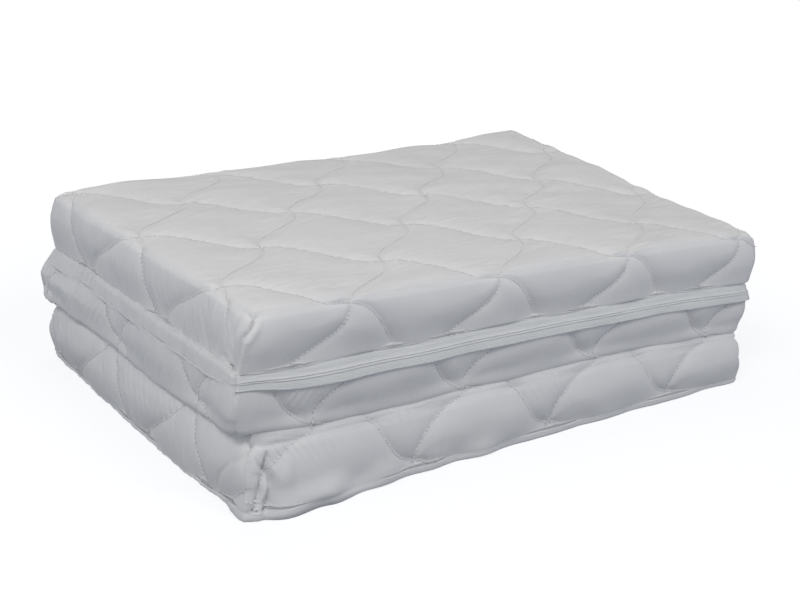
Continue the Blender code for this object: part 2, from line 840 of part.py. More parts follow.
def build_slider(panel, middle_run, parts, cutters, pivot):
    """The zip's slider, and the pull that tilts in its crown."""
    frame = slider_frame(panel, middle_run)
    metal = material("zip_slider_metal", METAL_GREY, METAL_ROUGHNESS, 1.0)
    slider = add_object("zip_slider", slider_mesh("zip_slider"), parts, frame, pivot, metal)
    across_crown = frame @ Matrix.Rotation(pi / 2, 4, "X")
    crown = add_cutter("zip_crown", crown_mesh("zip_crown"), cutters, across_crown, pivot)
    join = slider.modifiers.new("crown", "BOOLEAN")
    join.operation = "UNION"
    join.solver = "MANIFOLD"
    join.object = crown
    bar_frame = frame @ Matrix.Translation((pull_height(), 0, 0))
    along = Matrix(((0, 0, 1), (0, 1, 0), (1, 0, 0))).to_4x4()
    lying = bar_frame @ along
    add_object(
        "zip_pull",
        pull_mesh("zip_pull"),
        parts,
        lying,
        pivot,
        material("zip_pull_metal", METAL_GREY, METAL_ROUGHNESS, 1.0),
    )


def clear_scene():
    """Removes what the scene holds."""
    for item in list(bpy.data.objects):
        bpy.data.objects.remove(item)


def main():
    """Builds the closed stack."""
    clear_scene()
    parts = bpy.data.collections.new("folding_mattress")
    cutters = bpy.data.collections.new("cutters")
    bpy.context.scene.collection.children.link(parts)
    bpy.context.scene.collection.children.link(cutters)

    bottom = Panel("bottom", 0, BOTTOM_SLIP_X, BOTTOM_SLIP_Y, BOTTOM_NODE_X, BOTTOM_NODE_Y)
    middle = Panel(
        "middle", 1, MIDDLE_SLIP_X, MIDDLE_SLIP_Y, MIDDLE_NODE_X, MIDDLE_NODE_Y, flipped=True
    )
    top = Panel("top", 2, 0.0, 0.0, TOP_NODE_X, TOP_NODE_Y)

    rear_y = max(bottom.back(), middle.back()) + HINGE_MARGIN
    front_y = min(middle.front(), top.front()) - HINGE_MARGIN
    lower_axis = Vector((0, rear_y, middle.base - LAYER_GAP / 2))
    upper_axis = Vector((0, front_y, top.base - LAYER_GAP / 2))
    ground = add_pivot("bottom_panel_pivot", cutters, Vector((0, 0, 0)))
    lower_pivot = add_pivot("middle_panel_pivot", cutters, lower_axis)
    upper_pivot = add_pivot("top_panel_pivot", cutters, upper_axis)

    build_panel(bottom, parts, cutters, ground)
    cover, base = build_panel(middle, parts, cutters, lower_pivot)
    build_panel(top, parts, cutters, upper_pivot)
    build_hinge("lower_hinge_strip", bottom, middle, 1, False, LOWER_LEG_SHARES, parts, ground)
    build_hinge("upper_hinge_strip", middle, top, -1, True, UPPER_LEG_SHARES, parts, lower_pivot)
    middle_run = build_zip(middle, parts, cutters, lower_pivot, cover, base)
    build_slider(middle, middle_run, parts, cutters, lower_pivot)


main()
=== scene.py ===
"""The looks of the folding cot mattress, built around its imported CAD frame.

Everything is in metres and in the frame's own axes: X runs along the panels, Y from the front
to the back and Z up through the stack.
"""

from __future__ import annotations

import logging
import math
from dataclasses import dataclass, field
from enum import Enum

import bmesh
import bpy
import numpy as np
from mathutils import Matrix, Vector


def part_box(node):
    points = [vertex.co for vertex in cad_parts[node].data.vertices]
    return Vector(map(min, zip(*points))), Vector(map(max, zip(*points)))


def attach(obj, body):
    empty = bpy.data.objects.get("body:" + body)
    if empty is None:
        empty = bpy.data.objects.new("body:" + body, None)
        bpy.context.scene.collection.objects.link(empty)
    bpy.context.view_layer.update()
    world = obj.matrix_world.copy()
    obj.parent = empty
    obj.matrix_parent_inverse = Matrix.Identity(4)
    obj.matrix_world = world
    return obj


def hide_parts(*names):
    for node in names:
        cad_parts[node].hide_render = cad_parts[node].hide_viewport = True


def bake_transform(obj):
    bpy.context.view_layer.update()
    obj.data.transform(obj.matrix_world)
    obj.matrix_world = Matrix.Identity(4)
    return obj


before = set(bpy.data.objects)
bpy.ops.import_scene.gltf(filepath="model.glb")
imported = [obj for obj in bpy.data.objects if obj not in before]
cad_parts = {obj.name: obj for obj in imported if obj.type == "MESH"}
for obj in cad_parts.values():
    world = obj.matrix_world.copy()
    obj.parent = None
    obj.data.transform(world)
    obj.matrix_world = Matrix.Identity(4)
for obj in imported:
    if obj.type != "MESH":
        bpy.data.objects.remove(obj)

LOG = logging.getLogger("mattress")
MM = 0.001
TINY = 1e-9
STACK_HALF_X = 0.3
STACK_HALF_Y = 0.2
Points = np.ndarray
Span = tuple[float, float]
Colour = tuple[float, float, float, float]
Table = tuple[tuple[float, ...], ...]


# ---------------------------------------------------------------- numbers on arrays


def smooth(low: float, high: float, value: Points) -> Points:
    """A soft step.

    Args:
        low: Where the step starts, at none.
        high: Where it ends, at one.
        value: The values to test.

    Returns:
        Shares from 0 to 1.
    """
    share = np.clip((value - low) / (high - low), 0.0, 1.0)
    return share * share * (3 - 2 * share)


def bell(distance: Points, width: float) -> Points:
    """One at no distance, fading to none a few widths away."""
    return np.exp(-((distance / width) ** 2))


def unit(vectors: Points) -> Points:
    """The vectors at length one."""
    length = np.linalg.norm(vectors, axis=-1, keepdims=True)
    return vectors / np.maximum(length, 1e-12)


@dataclass(frozen=True)
class Waves:
    """A field of soft random waves, the same on every run."""

    seed: int
    length_u: float
    length_v: float
    spread: float = 0.45
    count: int = 18

    def at(self, u: Points, v: Points) -> Points:
        """Heights of the field.

        Args:
            u: First sheet distance of each place.
            v: Second sheet distance of each place.

        Returns:
            Heights of about -1 to 1.
        """
        draw = np.random.default_rng(self.seed)
        total = np.zeros_like(u)
        for _ in range(self.count):
            scale = 1 + self.spread * draw.uniform(-1, 1, 2)
            way = draw.uniform(0, 2 * math.pi, 2)
            tilt = draw.uniform(-1, 1)
            along = u * 2 * math.pi * scale[0] / self.length_u
            across = v * 2 * math.pi * scale[1] / self.length_v
            total += np.sin(along + tilt * across + way[0]) * np.cos(across + way[1])
        return total / math.sqrt(self.count / 2)


# ---------------------------------------------------------------- the case's form


class Side(Enum):
    """The sides of a panel's sheet, by the way that the local wall looks."""

    FACE = -1
    FRONT = 0
    RIGHT = 1
    BACK = 2
    LEFT = 3
    BASE = 4


OUTWARD = ((0, -1), (1, 0), (0, 1), (-1, 0))


@dataclass(frozen=True)
class CaseForm:
    """A panel's soft outside, mapped from the flat sheet that covers it.

    The face lies up, and the closing side down. A place on the sheet is given by its
    distances from the sheet's middle, over the edge and down the wall.
    """

    length: float = 0.600
    depth: float = 0.400
    height: float = 0.060
    corner: float = 0.026
    face_edge: float = 0.016
    foot_edge: float = 0.008
    bulge: float = 0.005
    crown: float = 0.0
    square: float = 0.78

    @property
    def core_x(self) -> float:
        """Half the face's length without its corners."""
        return self.length / 2 - self.corner

    @property
    def core_y(self) -> float:
        """Half the face's depth without its corners."""
        return self.depth / 2 - self.corner

    @property
    def flat(self) -> float:
        """From the corner's middle to where the face starts to turn."""
        return self.corner - self.face_edge

    @property
    def quarter(self) -> float:
        """The way over the face's edge."""
        return self.face_edge * math.pi / 2

    @property
    def foot_quarter(self) -> float:
        """The way round the closing side's edge."""
        return self.foot_edge * math.pi / 2

    @property
    def wall(self) -> float:
        """The straight part of the wall."""
        return self.height - self.face_edge - self.foot_edge

    @property
    def whole(self) -> float:
        """The way from the face's flat to the closing side's flat."""
        return self.quarter + self.wall + self.foot_quarter

    @property
    def ring(self) -> float:
        """From the corner's middle to half way over the face's edge."""
        return self.flat + self.quarter / 2

    @property
    def foot_ring(self) -> float:
        """From the corner's middle to half way round the closing side's edge."""
        return self.corner - self.foot_edge + self.foot_quarter / 2

    def run_at(self, height: float) -> float:
        """The way down the wall to a height, for heights on its straight part or below."""
        if height >= self.foot_edge:
            return self.quarter + self.height - self.face_edge - height
        return self.whole - self.foot_edge * math.acos(1 - height / self.foot_edge)

    def profile(self, run: Points) -> tuple[Points, Points, Points]:
        """The wall's section.

        Args:
            run: The way from the face's flat over the edge and down.

        Returns:
            Reach from the corner's middle, height, and lean of the outward way.
        """
        over = np.clip(run / self.face_edge, 0, math.pi / 2)
        under = np.clip((run - self.quarter - self.wall) / self.foot_edge, 0, math.pi / 2)
        lean = over + under
        reach = self.flat + np.minimum(run, 0) + self.face_edge * np.sin(over)
        reach = reach - self.foot_edge * (1 - np.cos(under)) - np.maximum(run - self.whole, 0)
        height = self.height - self.face_edge * (1 - np.cos(over))
        height = height - np.clip(run - self.quarter, 0, self.wall)
        height = height - self.foot_edge * np.sin(under)
        level = height / self.height
        swell = self.bulge * np.sin(lean) * (4 * level * (1 - level)) ** 2
        return reach + swell, height, lean


@dataclass(frozen=True)
class Place:
    """Where a panel lies in the stack, and whether its quilted face looks down."""

    x: float
    y: float
    base: float
    height: float
    flipped: bool = False

    def turn(self, vectors: Points) -> Points:
        """Directions in the panel's own axes, turned into the frame's."""
        return vectors * np.array((1, -1, -1)) if self.flipped else vectors.copy()

    def out(self, points: Points) -> Points:
        """Points in the panel's own axes, moved into the frame's."""
        level = self.base + (self.height if self.flipped else 0.0)
        return self.turn(points) + np.array((self.x, self.y, level))


def graded(half: float, fine: float, coarse: float, fine_end: int, reach: float) -> Points:
    """Grid lines that lie closer together towards one end.

    Args:
        half: Half the span.
        fine: The least spacing.
        coarse: The most spacing.
        fine_end: -1 where the close lines are at the low end, and 1 for the high end.
        reach: How far the close lines go.

    Returns:
        The lines from -half to half.
    """
    lines = [0.0]
    while lines[-1] < 2 * half:
        share = min(lines[-1] / reach, 1.0)
        lines.append(lines[-1] + fine + (coarse - fine) * share * share)
    found = np.array(lines) * (2 * half / lines[-1]) - half
    return found if fine_end < 0 else -found[::-1]


@dataclass
class SheetGrid:
    """A net of points on a case's sheet: its face, rows round its walls, and its base."""

    form: CaseForm
    near: int
    fine: float
    coarse: float
    rows: Points
    with_face: bool
    with_base: bool
    fine_reach: float = 0.07
    u: Points = field(init=False)
    v: Points = field(init=False)
    run: Points = field(init=False)
    side: Points = field(init=False)
    local: Points = field(init=False)
    normal: Points = field(init=False)
    quads: Points = field(init=False)

    def __post_init__(self) -> None:
        """Lays out the net and its faces."""
        form = self.form
        half_x = form.core_x + form.ring
        half_y = form.core_y + form.ring
        self.lines_u = graded(half_x, self.fine, self.coarse, -1, self.fine_reach)
        self.lines_v = graded(half_y, self.fine, self.coarse, self.near, self.fine_reach)
        self._lay_ring()
        total = len(self.rows) * self.around
        ring = np.arange(total).reshape(-1, self.around)
        after = np.roll(ring, -1, axis=1)
        parts = [np.stack((ring[:-1], ring[1:], after[1:], after[:-1]), axis=-1).reshape(-1, 4)]
        self.ring_index = ring
        self.face_index = None
        self.base_index = None
        if self.with_face:
            self.face_index, total = self._numbered(ring[0], total)
            parts.append(self.patch(self.face_index, False))
        if self.with_base:
            self.base_index, total = self._numbered(ring[-1], total)
            parts.append(self.patch(self.base_index, True))
        self.quads = np.concatenate(parts)
        self._fill(total)

    def _lay_ring(self) -> None:
        """Walks round the face's border, and notes each point's side and grid place."""
        last_u = len(self.lines_u) - 1
        last_v = len(self.lines_v) - 1
        up_u, up_v = np.arange(last_u), np.arange(last_v)
        i = (up_u, np.full(last_v, last_u), last_u - up_u, np.zeros(last_v, int))
        j = (np.zeros(last_u, int), up_v, np.full(last_u, last_v), last_v - up_v)
        sides = (Side.FRONT, Side.RIGHT, Side.BACK, Side.LEFT)
        self.ring_i = np.concatenate(i)
        self.ring_j = np.concatenate(j)
        self.ring_side = np.repeat([side.value for side in sides], (last_u, last_v) * 2)
        self.around = len(self.ring_i)

    def _numbered(self, border: Points, start: int) -> tuple[Points, int]:
        """Numbers a patch's points, its border by the ring and its inside from a start.

        Args:
            border: The numbers of the ring that bounds the patch.
            start: The first free number.

        Returns:
            The patch's numbers by line, and the next free number.
        """
        index = np.full((len(self.lines_u), len(self.lines_v)), -1)
        index[self.ring_i, self.ring_j] = border
        free = index < 0
        end = start + int(free.sum())
        index[free] = np.arange(start, end)
        return index, end

    def on(self, *sides: Side) -> Points:
        """Which points lie on one of some sides."""
        return np.isin(self.side, [side.value for side in sides])

    @staticmethod
    def patch(index: Points, down: bool) -> Points:
        """The faces of a patch, which look up or down."""
        corners = (index[:-1, :-1], index[1:, :-1], index[1:, 1:], index[:-1, 1:])
        quads = np.stack(corners, axis=-1).reshape(-1, 4)
        return quads[:, ::-1] if down else quads

    def _face_places(self) -> Points:
        """The sheet places where the face's lines cross, as rows of two."""
        grid = np.meshgrid(self.lines_u, self.lines_v, indexing="ij")
        return np.stack(grid, axis=-1).reshape(-1, 2)

    def _fill(self, total: int) -> None:
        """Works out the sheet place, position and outward way of so many points."""
        form = self.form
        self.u, self.v, self.run = np.zeros((3, total))
        self.side = np.full(total, Side.FACE.value)
        self.local, self.normal = np.zeros((2, total, 3))
        for index, is_base in ((self.face_index, False), (self.base_index, True)):
            if index is not None:
                self._fill_patch(index.ravel(), is_base)
        spot = np.column_stack((self.lines_u[self.ring_i], self.lines_v[self.ring_j]))
        over = np.maximum(np.abs(spot) - (form.core_x, form.core_y), 0)
        turn = math.pi / 4 * over.min(axis=1) / form.ring
        outward = np.array(OUTWARD)[self.ring_side]
        for row, run in zip(self.ring_index, self.rows):
            self.u[row], self.v[row] = (spot + outward * (run - form.quarter / 2)).T
            self.run[row] = run
            self.side[row] = self.ring_side
            self._set(row, spot, over, turn)

    def _fill_patch(self, index: Points, is_base: bool) -> None:
        """Works out the points of the face or of the base."""
        form = self.form
        ring = form.foot_ring if is_base else form.ring
        spot = self._face_places()
        over = np.maximum(np.abs(spot) - (form.core_x, form.core_y), 0) * ring / form.ring
        most = over.max(axis=1)
        turn = math.pi / 4 * over.min(axis=1) / np.maximum(most, TINY)
        past_foot = form.whole + form.corner - form.foot_edge - most
        self.u[index], self.v[index] = spot.T
        self.run[index] = past_foot if is_base else most - form.flat
        self.side[index] = (Side.BASE if is_base else Side.FACE).value
        self._set(index, spot, over, turn)

    def _set(self, index: Points, spot: Points, over: Points, turn: Points) -> None:
        """Writes the positions and outward ways of points whose way down is known.

        Args:
            index: The points' numbers.
            spot: Where each lies in plan on the flat sheet, as rows of two.
            over: How far each lies past the core, as rows of two.
            turn: How far each looks away from its wall's own way.
        """
        form = self.form
        reach, height, lean = form.profile(self.run[index])
        reach = np.where(over.max(axis=1) > 0, reach, 0.0)
        along = np.column_stack((np.cos(turn), np.sin(turn)))
        along = np.where((over[:, 1] > over[:, 0])[:, None], along[:, ::-1], along)
        along = along * np.sign(spot)
        core = np.clip(spot, (-form.core_x, -form.core_y), (form.core_x, form.core_y))
        squared = reach * (1 + form.square * (1 / np.cos(turn) - 1))
        plan = core + along * squared[:, None]
        half = np.array((form.length, form.depth)) / 2 - form.face_edge
        arch = np.maximum(0, 1 - (plan / half) ** 2).prod(axis=1)
        lowered = height * (1 - form.crown / form.height * (1 - arch))
        self.local[index] = np.column_stack((plan, lowered))
        self.normal[index] = np.column_stack((along * np.sin(lean)[:, None], np.cos(lean)))

    def places(self) -> Points:
        """The flat sheet's place at each corner of each face, without jumps at the seams."""
        found = np.column_stack((self.u, self.v))[self.quads]
        rows = len(self.rows) - 1
        bands = found[: rows * self.around].reshape(rows, self.around, 4, 2)
        drop = self.rows[:, None] - self.form.quarter / 2
        for column in np.flatnonzero(self.ring_side != np.roll(self.ring_side, -1)):
            after = (column + 1) % self.around
            ring = np.array((self.lines_u[self.ring_i[after]], self.lines_v[self.ring_j[after]]))
            own = ring + drop * np.array(OUTWARD[self.ring_side[column]])
            bands[:, column, 2] = own[1:]
            bands[:, column, 3] = own[:-1]
        if self.base_index is not None:
            number = np.arange(self.base_index.size).reshape(self.base_index.shape)
            quads = self.patch(number, True)
            found[-len(quads) :] = self._face_places()[quads]
        return found

    def sample(self, values: Points, u: Points, v: Points) -> Points:
        """Values of the net at places on the face and down the walls.

        Args:
            values: One row of numbers for each point of the net.
            u: First sheet distance of each place.
            v: Second sheet distance of each place.

        Returns:
            One row of numbers for each place.
        """
        found = np.zeros((len(u), values.shape[1]))
        drop_u = np.abs(u) - self.lines_u[-1]
        drop_v = np.abs(v) - self.lines_v[-1]
        on_face = (drop_u <= 0) & (drop_v <= 0)
        if self.face_index is not None and on_face.any():
            grid = values[self.face_index]
            found[on_face] = bilinear(grid, self.lines_u, self.lines_v, u[on_face], v[on_face])
        top = self.form.quarter / 2
        walls = (
            (Side.FRONT, (drop_v > 0) & (v < 0), u, drop_v),
            (Side.RIGHT, (drop_u > 0) & (u > 0), v, drop_u),
            (Side.BACK, (drop_v > 0) & (v > 0), u, drop_v),
            (Side.LEFT, (drop_u > 0) & (u < 0), v, drop_u),
        )
        for side, here, along, drop in walls:
            if here.any():
                lines, index = self.wall_index(side)
                spots = (along[here], drop[here] + top)
                found[here] = bilinear(values[index], lines, self.rows, *spots)
        return found

    def wall_index(self, side: Side) -> tuple[Points, Points]:
        """A wall's lines in rising order, and its point numbers by line and row."""
        last_u = len(self.lines_u) - 1
        last_v = len(self.lines_v) - 1
        starts = {Side.FRONT: 0, Side.RIGHT: last_u, Side.BACK: last_u + last_v}
        starts[Side.LEFT] = 2 * last_u + last_v
        across = side in (Side.FRONT, Side.BACK)
        count = last_u if across else last_v
        columns = (starts[side] + np.arange(count + 1)) % self.around
        index = self.ring_index[:, columns].T
        if side in (Side.BACK, Side.LEFT):
            index = index[::-1]
        return (self.lines_u if across else self.lines_v), index


def bilinear(grid: Points, lines_a: Points, lines_b: Points, a: Points, b: Points) -> Points:
    """Values between the points of a grid whose lines are unevenly spaced.

    Args:
        grid: The values by line of the first and second direction.
        lines_a: The first direction's lines.
        lines_b: The second direction's lines.
        a: First place of each wanted value.
        b: Second place of each wanted value.

    Returns:
        One row of values for each place.
    """
    i = np.clip(np.searchsorted(lines_a, a) - 1, 0, len(lines_a) - 2)
    j = np.clip(np.searchsorted(lines_b, b) - 1, 0, len(lines_b) - 2)
    s = np.clip((a - lines_a[i]) / (lines_a[i + 1] - lines_a[i]), 0, 1)[:, None]
    t = np.clip((b - lines_b[j]) / (lines_b[j + 1] - lines_b[j]), 0, 1)[:, None]
    near = grid[i, j] * (1 - s) + grid[i + 1, j] * s
    far = grid[i, j + 1] * (1 - s) + grid[i + 1, j + 1] * s
    return near * (1 - t) + far * t


# ---------------------------------------------------------------- quilting and creases


@dataclass(frozen=True)
class Quilting:
    """Two families of waved stitch lines, set out from one place where they cross."""

    node_x: float
    node_y: float
    pitch_x: float = 0.160
    pitch_y: float = 0.156
    sway: float = 0.8
    relief: float = 0.0055
    narrow: float = 0.0030
    wide: float = 0.0085
    narrow_share: float = 0.28
    second_share: float = 0.92
    pillow_reach: float = 0.045
    pillow_share: float = 0.22

    @property
    def swing(self) -> float:
        """How far the lines wave, in pitches."""
        return self.sway / (4 * math.pi)

    def gaps(self, u: Points, v: Points) -> tuple[Points, Points]:
        """Each place's distance to the nearest line of the first and the second family."""
        a = (u - self.node_x) / self.pitch_x
        b = (v - self.node_y) / self.pitch_y
        first = b + a - self.swing * np.sin(4 * math.pi * a)
        second = a - b + self.swing * np.sin(4 * math.pi * b)
        slope_a = (1 - self.sway * np.cos(4 * math.pi * a)) / self.pitch_x
        slope_b = (1 - self.sway * np.cos(4 * math.pi * b)) / self.pitch_y
        first_gap = np.abs(first - np.round(first)) / np.hypot(slope_a, 1 / self.pitch_y)
        second_gap = np.abs(second - np.round(second)) / np.hypot(slope_b, 1 / self.pitch_x)
        return first_gap, second_gap

    def sink(self, u: Points, v: Points) -> Points:
        """How deep the cloth lies below its full form."""
        first_gap, second_gap = self.gaps(u, v)
        depth = np.zeros_like(u)
        for gap, share in ((first_gap, 1.0), (second_gap, self.second_share)):
            close = self.narrow_share * np.exp(-gap / self.narrow)
            broad = (1 - self.narrow_share) * np.exp(-gap / self.wide)
            depth = np.maximum(depth, share * (close + broad))
        pillow = 1 - smooth(0.0, self.pillow_reach, np.minimum(first_gap, second_gap))
        return self.relief * ((1 - self.pillow_share) * depth + self.pillow_share * pillow)

    def line(self, family: int, count: int, reach: float, step: float) -> tuple[Points, Points]:
        """Points along one stitch line.

        Args:
            family: 0 or 1.
            count: Which line of the family.
            reach: How far from the sheet's middle the line is followed.
            step: Spacing of the points.

        Returns:
            Both sheet distances of the points.
        """
        way = np.arange(-reach, reach, step)
        if family == 0:
            a = (way - self.node_x) / self.pitch_x
            b = count - a + self.swing * np.sin(4 * math.pi * a)
        else:
            b = (way - self.node_y) / self.pitch_y
            a = count + b - self.swing * np.sin(4 * math.pi * b)
        return self.node_x + a * self.pitch_x, self.node_y + b * self.pitch_y


def spread(table: Table, x: Points, y: Points) -> Points:
    """Values of a coarse table over the stack's plan, joined by soft curves.

    Args:
        table: Rows from the front to the back, each from the left to the right.
        x: Places along the stack.
        y: Places across the stack.

    Returns:
        One value for each place.
    """
    grid = np.array(table)
    spots = []
    for value, half, count in ((y, STACK_HALF_Y, len(grid)), (x, STACK_HALF_X, len(grid[0]))):
        spot = np.clip((value + half) / (2 * half), 0, 1) * (count - 1)
        first = np.clip(spot.astype(int), 0, count - 2)
        t = spot - first
        shares = (
            0.5 * (-(t**3) + 2 * t**2 - t),
            0.5 * (3 * t**3 - 5 * t**2 + 2),
            0.5 * (-3 * t**3 + 4 * t**2 + t),
            0.5 * (t**3 - t**2),
        )
        lines = [np.clip(first + k, 0, count - 1) for k in (-1, 0, 1, 2)]
        spots.append(list(zip(lines, shares)))
    found = np.zeros_like(x)
    for row, row_share in spots[0]:
        for column, column_share in spots[1]:
            found += grid[row, column] * row_share * column_share
    return found


@dataclass(frozen=True)
class Settle:
    """How slack foam and the stack's own weight shift the levels between the panels, in mm.

    Each table's rows run from the front to the back and its columns from the left to the
    right. The middle panel's right front corner drops and the bottom one's left rises.
    """

    levels: tuple[float, float, float, float] = (0.0, 0.0602, 0.1206, 0.1808)
    low: Table = (
        (7.5, 6.8, 6.2, 4.2, -5.0),
        (4.0, 1.5, 0.5, 0.0, -1.0),
        (1.0, 0.5, 0.0, 0.0, 0.0),
        (6.0, 0.5, 0.0, 0.0, 0.0),
        (5.0, 0.0, 0.0, 0.0, 0.0),
    )
    mid: Table = (
        (5.5, 3.2, 1.8, -2.6, -1.5),
        (1.5, 2.0, 1.0, 0.0, 0.0),
        (-1.0, 1.0, 0.0, 0.0, 0.0),
        (-2.5, 0.0, 0.0, 0.0, 0.0),
        (-4.0, 0.0, 0.0, 0.0, 0.0),
    )
    high: Table = (
        (0.0, -2.0, -5.0, -8.0, -13.0),
        (-1.0, -1.0, -2.0, -6.0, -12.0),
        (-1.0, 0.0, 0.0, -1.5, -3.5),
        (-1.0, 0.0, 1.0, 2.0, 4.5),
        (-1.0, -1.0, 0.0, 2.0, 9.0),
    )
    corner_drop: float = 9.0
    drop_reach: Span = (0.075, 0.020)
    corner_rise: float = 8.0
    rise_reach: Span = (0.040, 0.022)
    rise_y: float = -0.195

    def offsets(self, x: Points, y: Points) -> list[Points]:
        """The shift of each level at places in plan."""
        drop_x, drop_y = self.drop_reach
        rise_x, rise_y = self.rise_reach
        drop = self.corner_drop * bell(x - STACK_HALF_X, drop_x) * bell(y + STACK_HALF_Y, drop_y)
        rise = self.corner_rise * bell(x + STACK_HALF_X, rise_x) * bell(y - self.rise_y, rise_y)
        low, mid, high = (spread(table, x, y) * MM for table in (self.low, self.mid, self.high))
        return [np.zeros_like(x), low + rise * MM, mid - drop * MM, high]

    def moved(self, points: Points) -> Points:
        """Points carried up or down with the levels around them."""
        offsets = self.offsets(points[:, 0], points[:, 1])
        shift = np.zeros(len(points))
        for index in range(3):
            low, high = self.levels[index : index + 2]
            share = np.clip((points[:, 2] - low) / (high - low), 0, 1)
            here = (points[:, 2] >= low) if index else np.ones(len(points), bool)
            value = offsets[index] * (1 - share) + offsets[index + 1] * share
            shift = np.where(here, value, shift)
        found = points.copy()
        found[:, 2] += shift
        return found


@dataclass(frozen=True)
class Fold:
    """One crease or ridge in the cloth by the near corner, in mm.

    Its points are distances round the wall from the corner, to the right along the front
    and negative to the left, and heights above the ground.
    """

    points: tuple[Span, ...]
    rise: float
    width: float
    sharp: bool = False
    end_share: float = 0.06
    taper: float = 0.6

    def heights(self, round_wall: Points, level: Points) -> Points:
        """How far the fold lifts the cloth at places of the wall."""
        best = np.full(len(level), np.inf)
        place = np.zeros(len(level))
        ends = np.array(self.points) * MM
        lengths = np.linalg.norm(np.diff(ends, axis=0), axis=1)
        walked = 0.0
        for start, end, length in zip(ends, ends[1:], lengths):
            way = (end - start) / length
            off_x = round_wall - start[0]
            off_z = level - start[1]
            along = np.clip(off_x * way[0] + off_z * way[1], 0, length)
            gap = np.hypot(off_x - along * way[0], off_z - along * way[1])
            nearer = gap < best
            best = np.where(nearer, gap, best)
            place = np.where(nearer, walked + along, place)
            walked += length
        share = self.end_share + (1 - 2 * self.end_share) * place / walked
        ends_off = np.sin(math.pi * np.clip(share, 0, 1)) ** self.taper
        width = self.width * MM
        shape = np.exp(-best / width) if self.sharp else bell(best, width)
        return self.rise * MM * ends_off * shape


@dataclass(frozen=True)
class Ruffle:
    """A row of small puckers where cloth is drawn into a seam or a crease, in mm."""

    seed: int
    low: float
    high: float
    level: float
    reach: float
    pitch: float
    rise: float
    slant: float = 0.0
    waves: int = 4
    pitch_shares: Span = (0.72, 1.35)
    crispness: float = 0.8
    end: float = 12.0
    fade_power: float = 1.5

    def heights(self, round_wall: Points, level: Points) -> Points:
        """How far the puckers lift the cloth at places of the wall."""
        draw = np.random.default_rng(self.seed)
        away = level - self.level * MM
        spot = round_wall + self.slant * away
        wave = np.zeros(len(level))
        for _ in range(self.waves):
            pitch = self.pitch * MM * draw.uniform(*self.pitch_shares)
            wave += np.sin(2 * math.pi * spot / pitch + draw.uniform(0, 2 * math.pi))
        wave = np.tanh(wave * self.crispness)
        ends = smooth(self.low * MM, (self.low + self.end) * MM, round_wall)
        ends = ends * (1 - smooth((self.high - self.end) * MM, self.high * MM, round_wall))
        fade = np.exp(-((np.abs(away) / (self.reach * MM)) ** self.fade_power))
        return self.rise * MM * wave * ends * fade


# ---------------------------------------------------------------- shader maths


class Signal:
    """A shader value that takes part in sums, each of which adds its Math node."""

    def __init__(self, graph: "Graph", socket: bpy.types.NodeSocket) -> None:
        """Wraps a node's output."""
        self.graph = graph
        self.socket = socket

    def _sum(self, operation: str, first: object, second: object) -> "Signal":
        """One Math node on two values."""
        settings = {"operation": operation}
        return self.graph.node("ShaderNodeMath", settings, {0: first, 1: second})

    def __add__(self, other: object) -> "Signal":
        """This plus the other."""
        return self._sum("ADD", self, other)

    __radd__ = __add__

    def __sub__(self, other: object) -> "Signal":
        """This less the other."""
        return self._sum("SUBTRACT", self, other)

    def __rsub__(self, other: object) -> "Signal":
        """The other less this."""
        return self._sum("SUBTRACT", other, self)

    def __mul__(self, other: object) -> "Signal":
        """This times the other."""
        return self._sum("MULTIPLY", self, other)

    __rmul__ = __mul__

    def sine(self) -> "Signal":
        """The sine of this."""
        return self._sum("SINE", self, 0.0)

    def most(self, other: object) -> "Signal":
        """The larger of this and the other."""
        return self._sum("MAXIMUM", self, other)

    def output(self, name: str) -> "Signal":
        """Another output of the same node."""
        return Signal(self.graph, self.socket.node.outputs[name])


class Graph:
    """A node tree that is built node by node."""

    def __init__(self, tree: bpy.types.NodeTree) -> None:
        """Takes the tree that gets the nodes."""
        self.tree = tree

    def node(
        self,
        kind: str,
        settings: dict[str, object] | None = None,
        inputs: dict[int | str, object] | None = None,
        output: int | str = 0,
    ) -> Signal:
        """Adds one node.

        Args:
            kind: The node's type.
            settings: Its properties, which are set first.
            inputs: Values or signals for its sockets, by number or name.
            output: Which output is wanted.

        Returns:
            The wanted output.
        """
        made = self.tree.nodes.new(kind)
        for name, value in (settings or {}).items():
            setattr(made, name, value)
        for name, value in (inputs or {}).items():
            if isinstance(value, Signal):
                self.tree.links.new(value.socket, made.inputs[name])
            else:
                made.inputs[name].default_value = value
        return Signal(self, made.outputs[output] if made.outputs else made.inputs[0])

    def mix(self, share: object, first: object, second: object) -> Signal:
        """A colour between two colours."""
        settings = {"data_type": "RGBA"}
        return self.node("ShaderNodeMix", settings, {0: share, 6: first, 7: second}, 2)

    def noise(self, place: Signal, scale: float, detail: float = 3.0) -> Signal:
        """Noise from 0 to 1 at a place."""
        inputs = {"Vector": place, "Scale": scale, "Detail": detail}
        return self.node("ShaderNodeTexNoise", None, inputs)

    def stretched(self, place: Signal, scale: tuple[float, float, float]) -> Signal:
        """A place with its axes scaled."""
        inputs = {0: place, 1: scale}
        return self.node("ShaderNodeVectorMath", {"operation": "MULTIPLY"}, inputs)

    def solid(self) -> Signal:
        """A piece's own place in space."""
        return self.node("ShaderNodeTexCoord", None, None, "Object")

    def sheet(self) -> Signal:
        """A piece's place on the flat cloth."""
        return self.node("ShaderNodeUVMap", {"uv_map": "sheet"})

    def bump(self, height: Signal, distance: float, strength: float = 1.0) -> Signal:
        """A normal from a height of 0 to 1."""
        inputs = {"Height": height, "Distance": distance, "Strength": strength}
        return self.node("ShaderNodeBump", None, inputs)


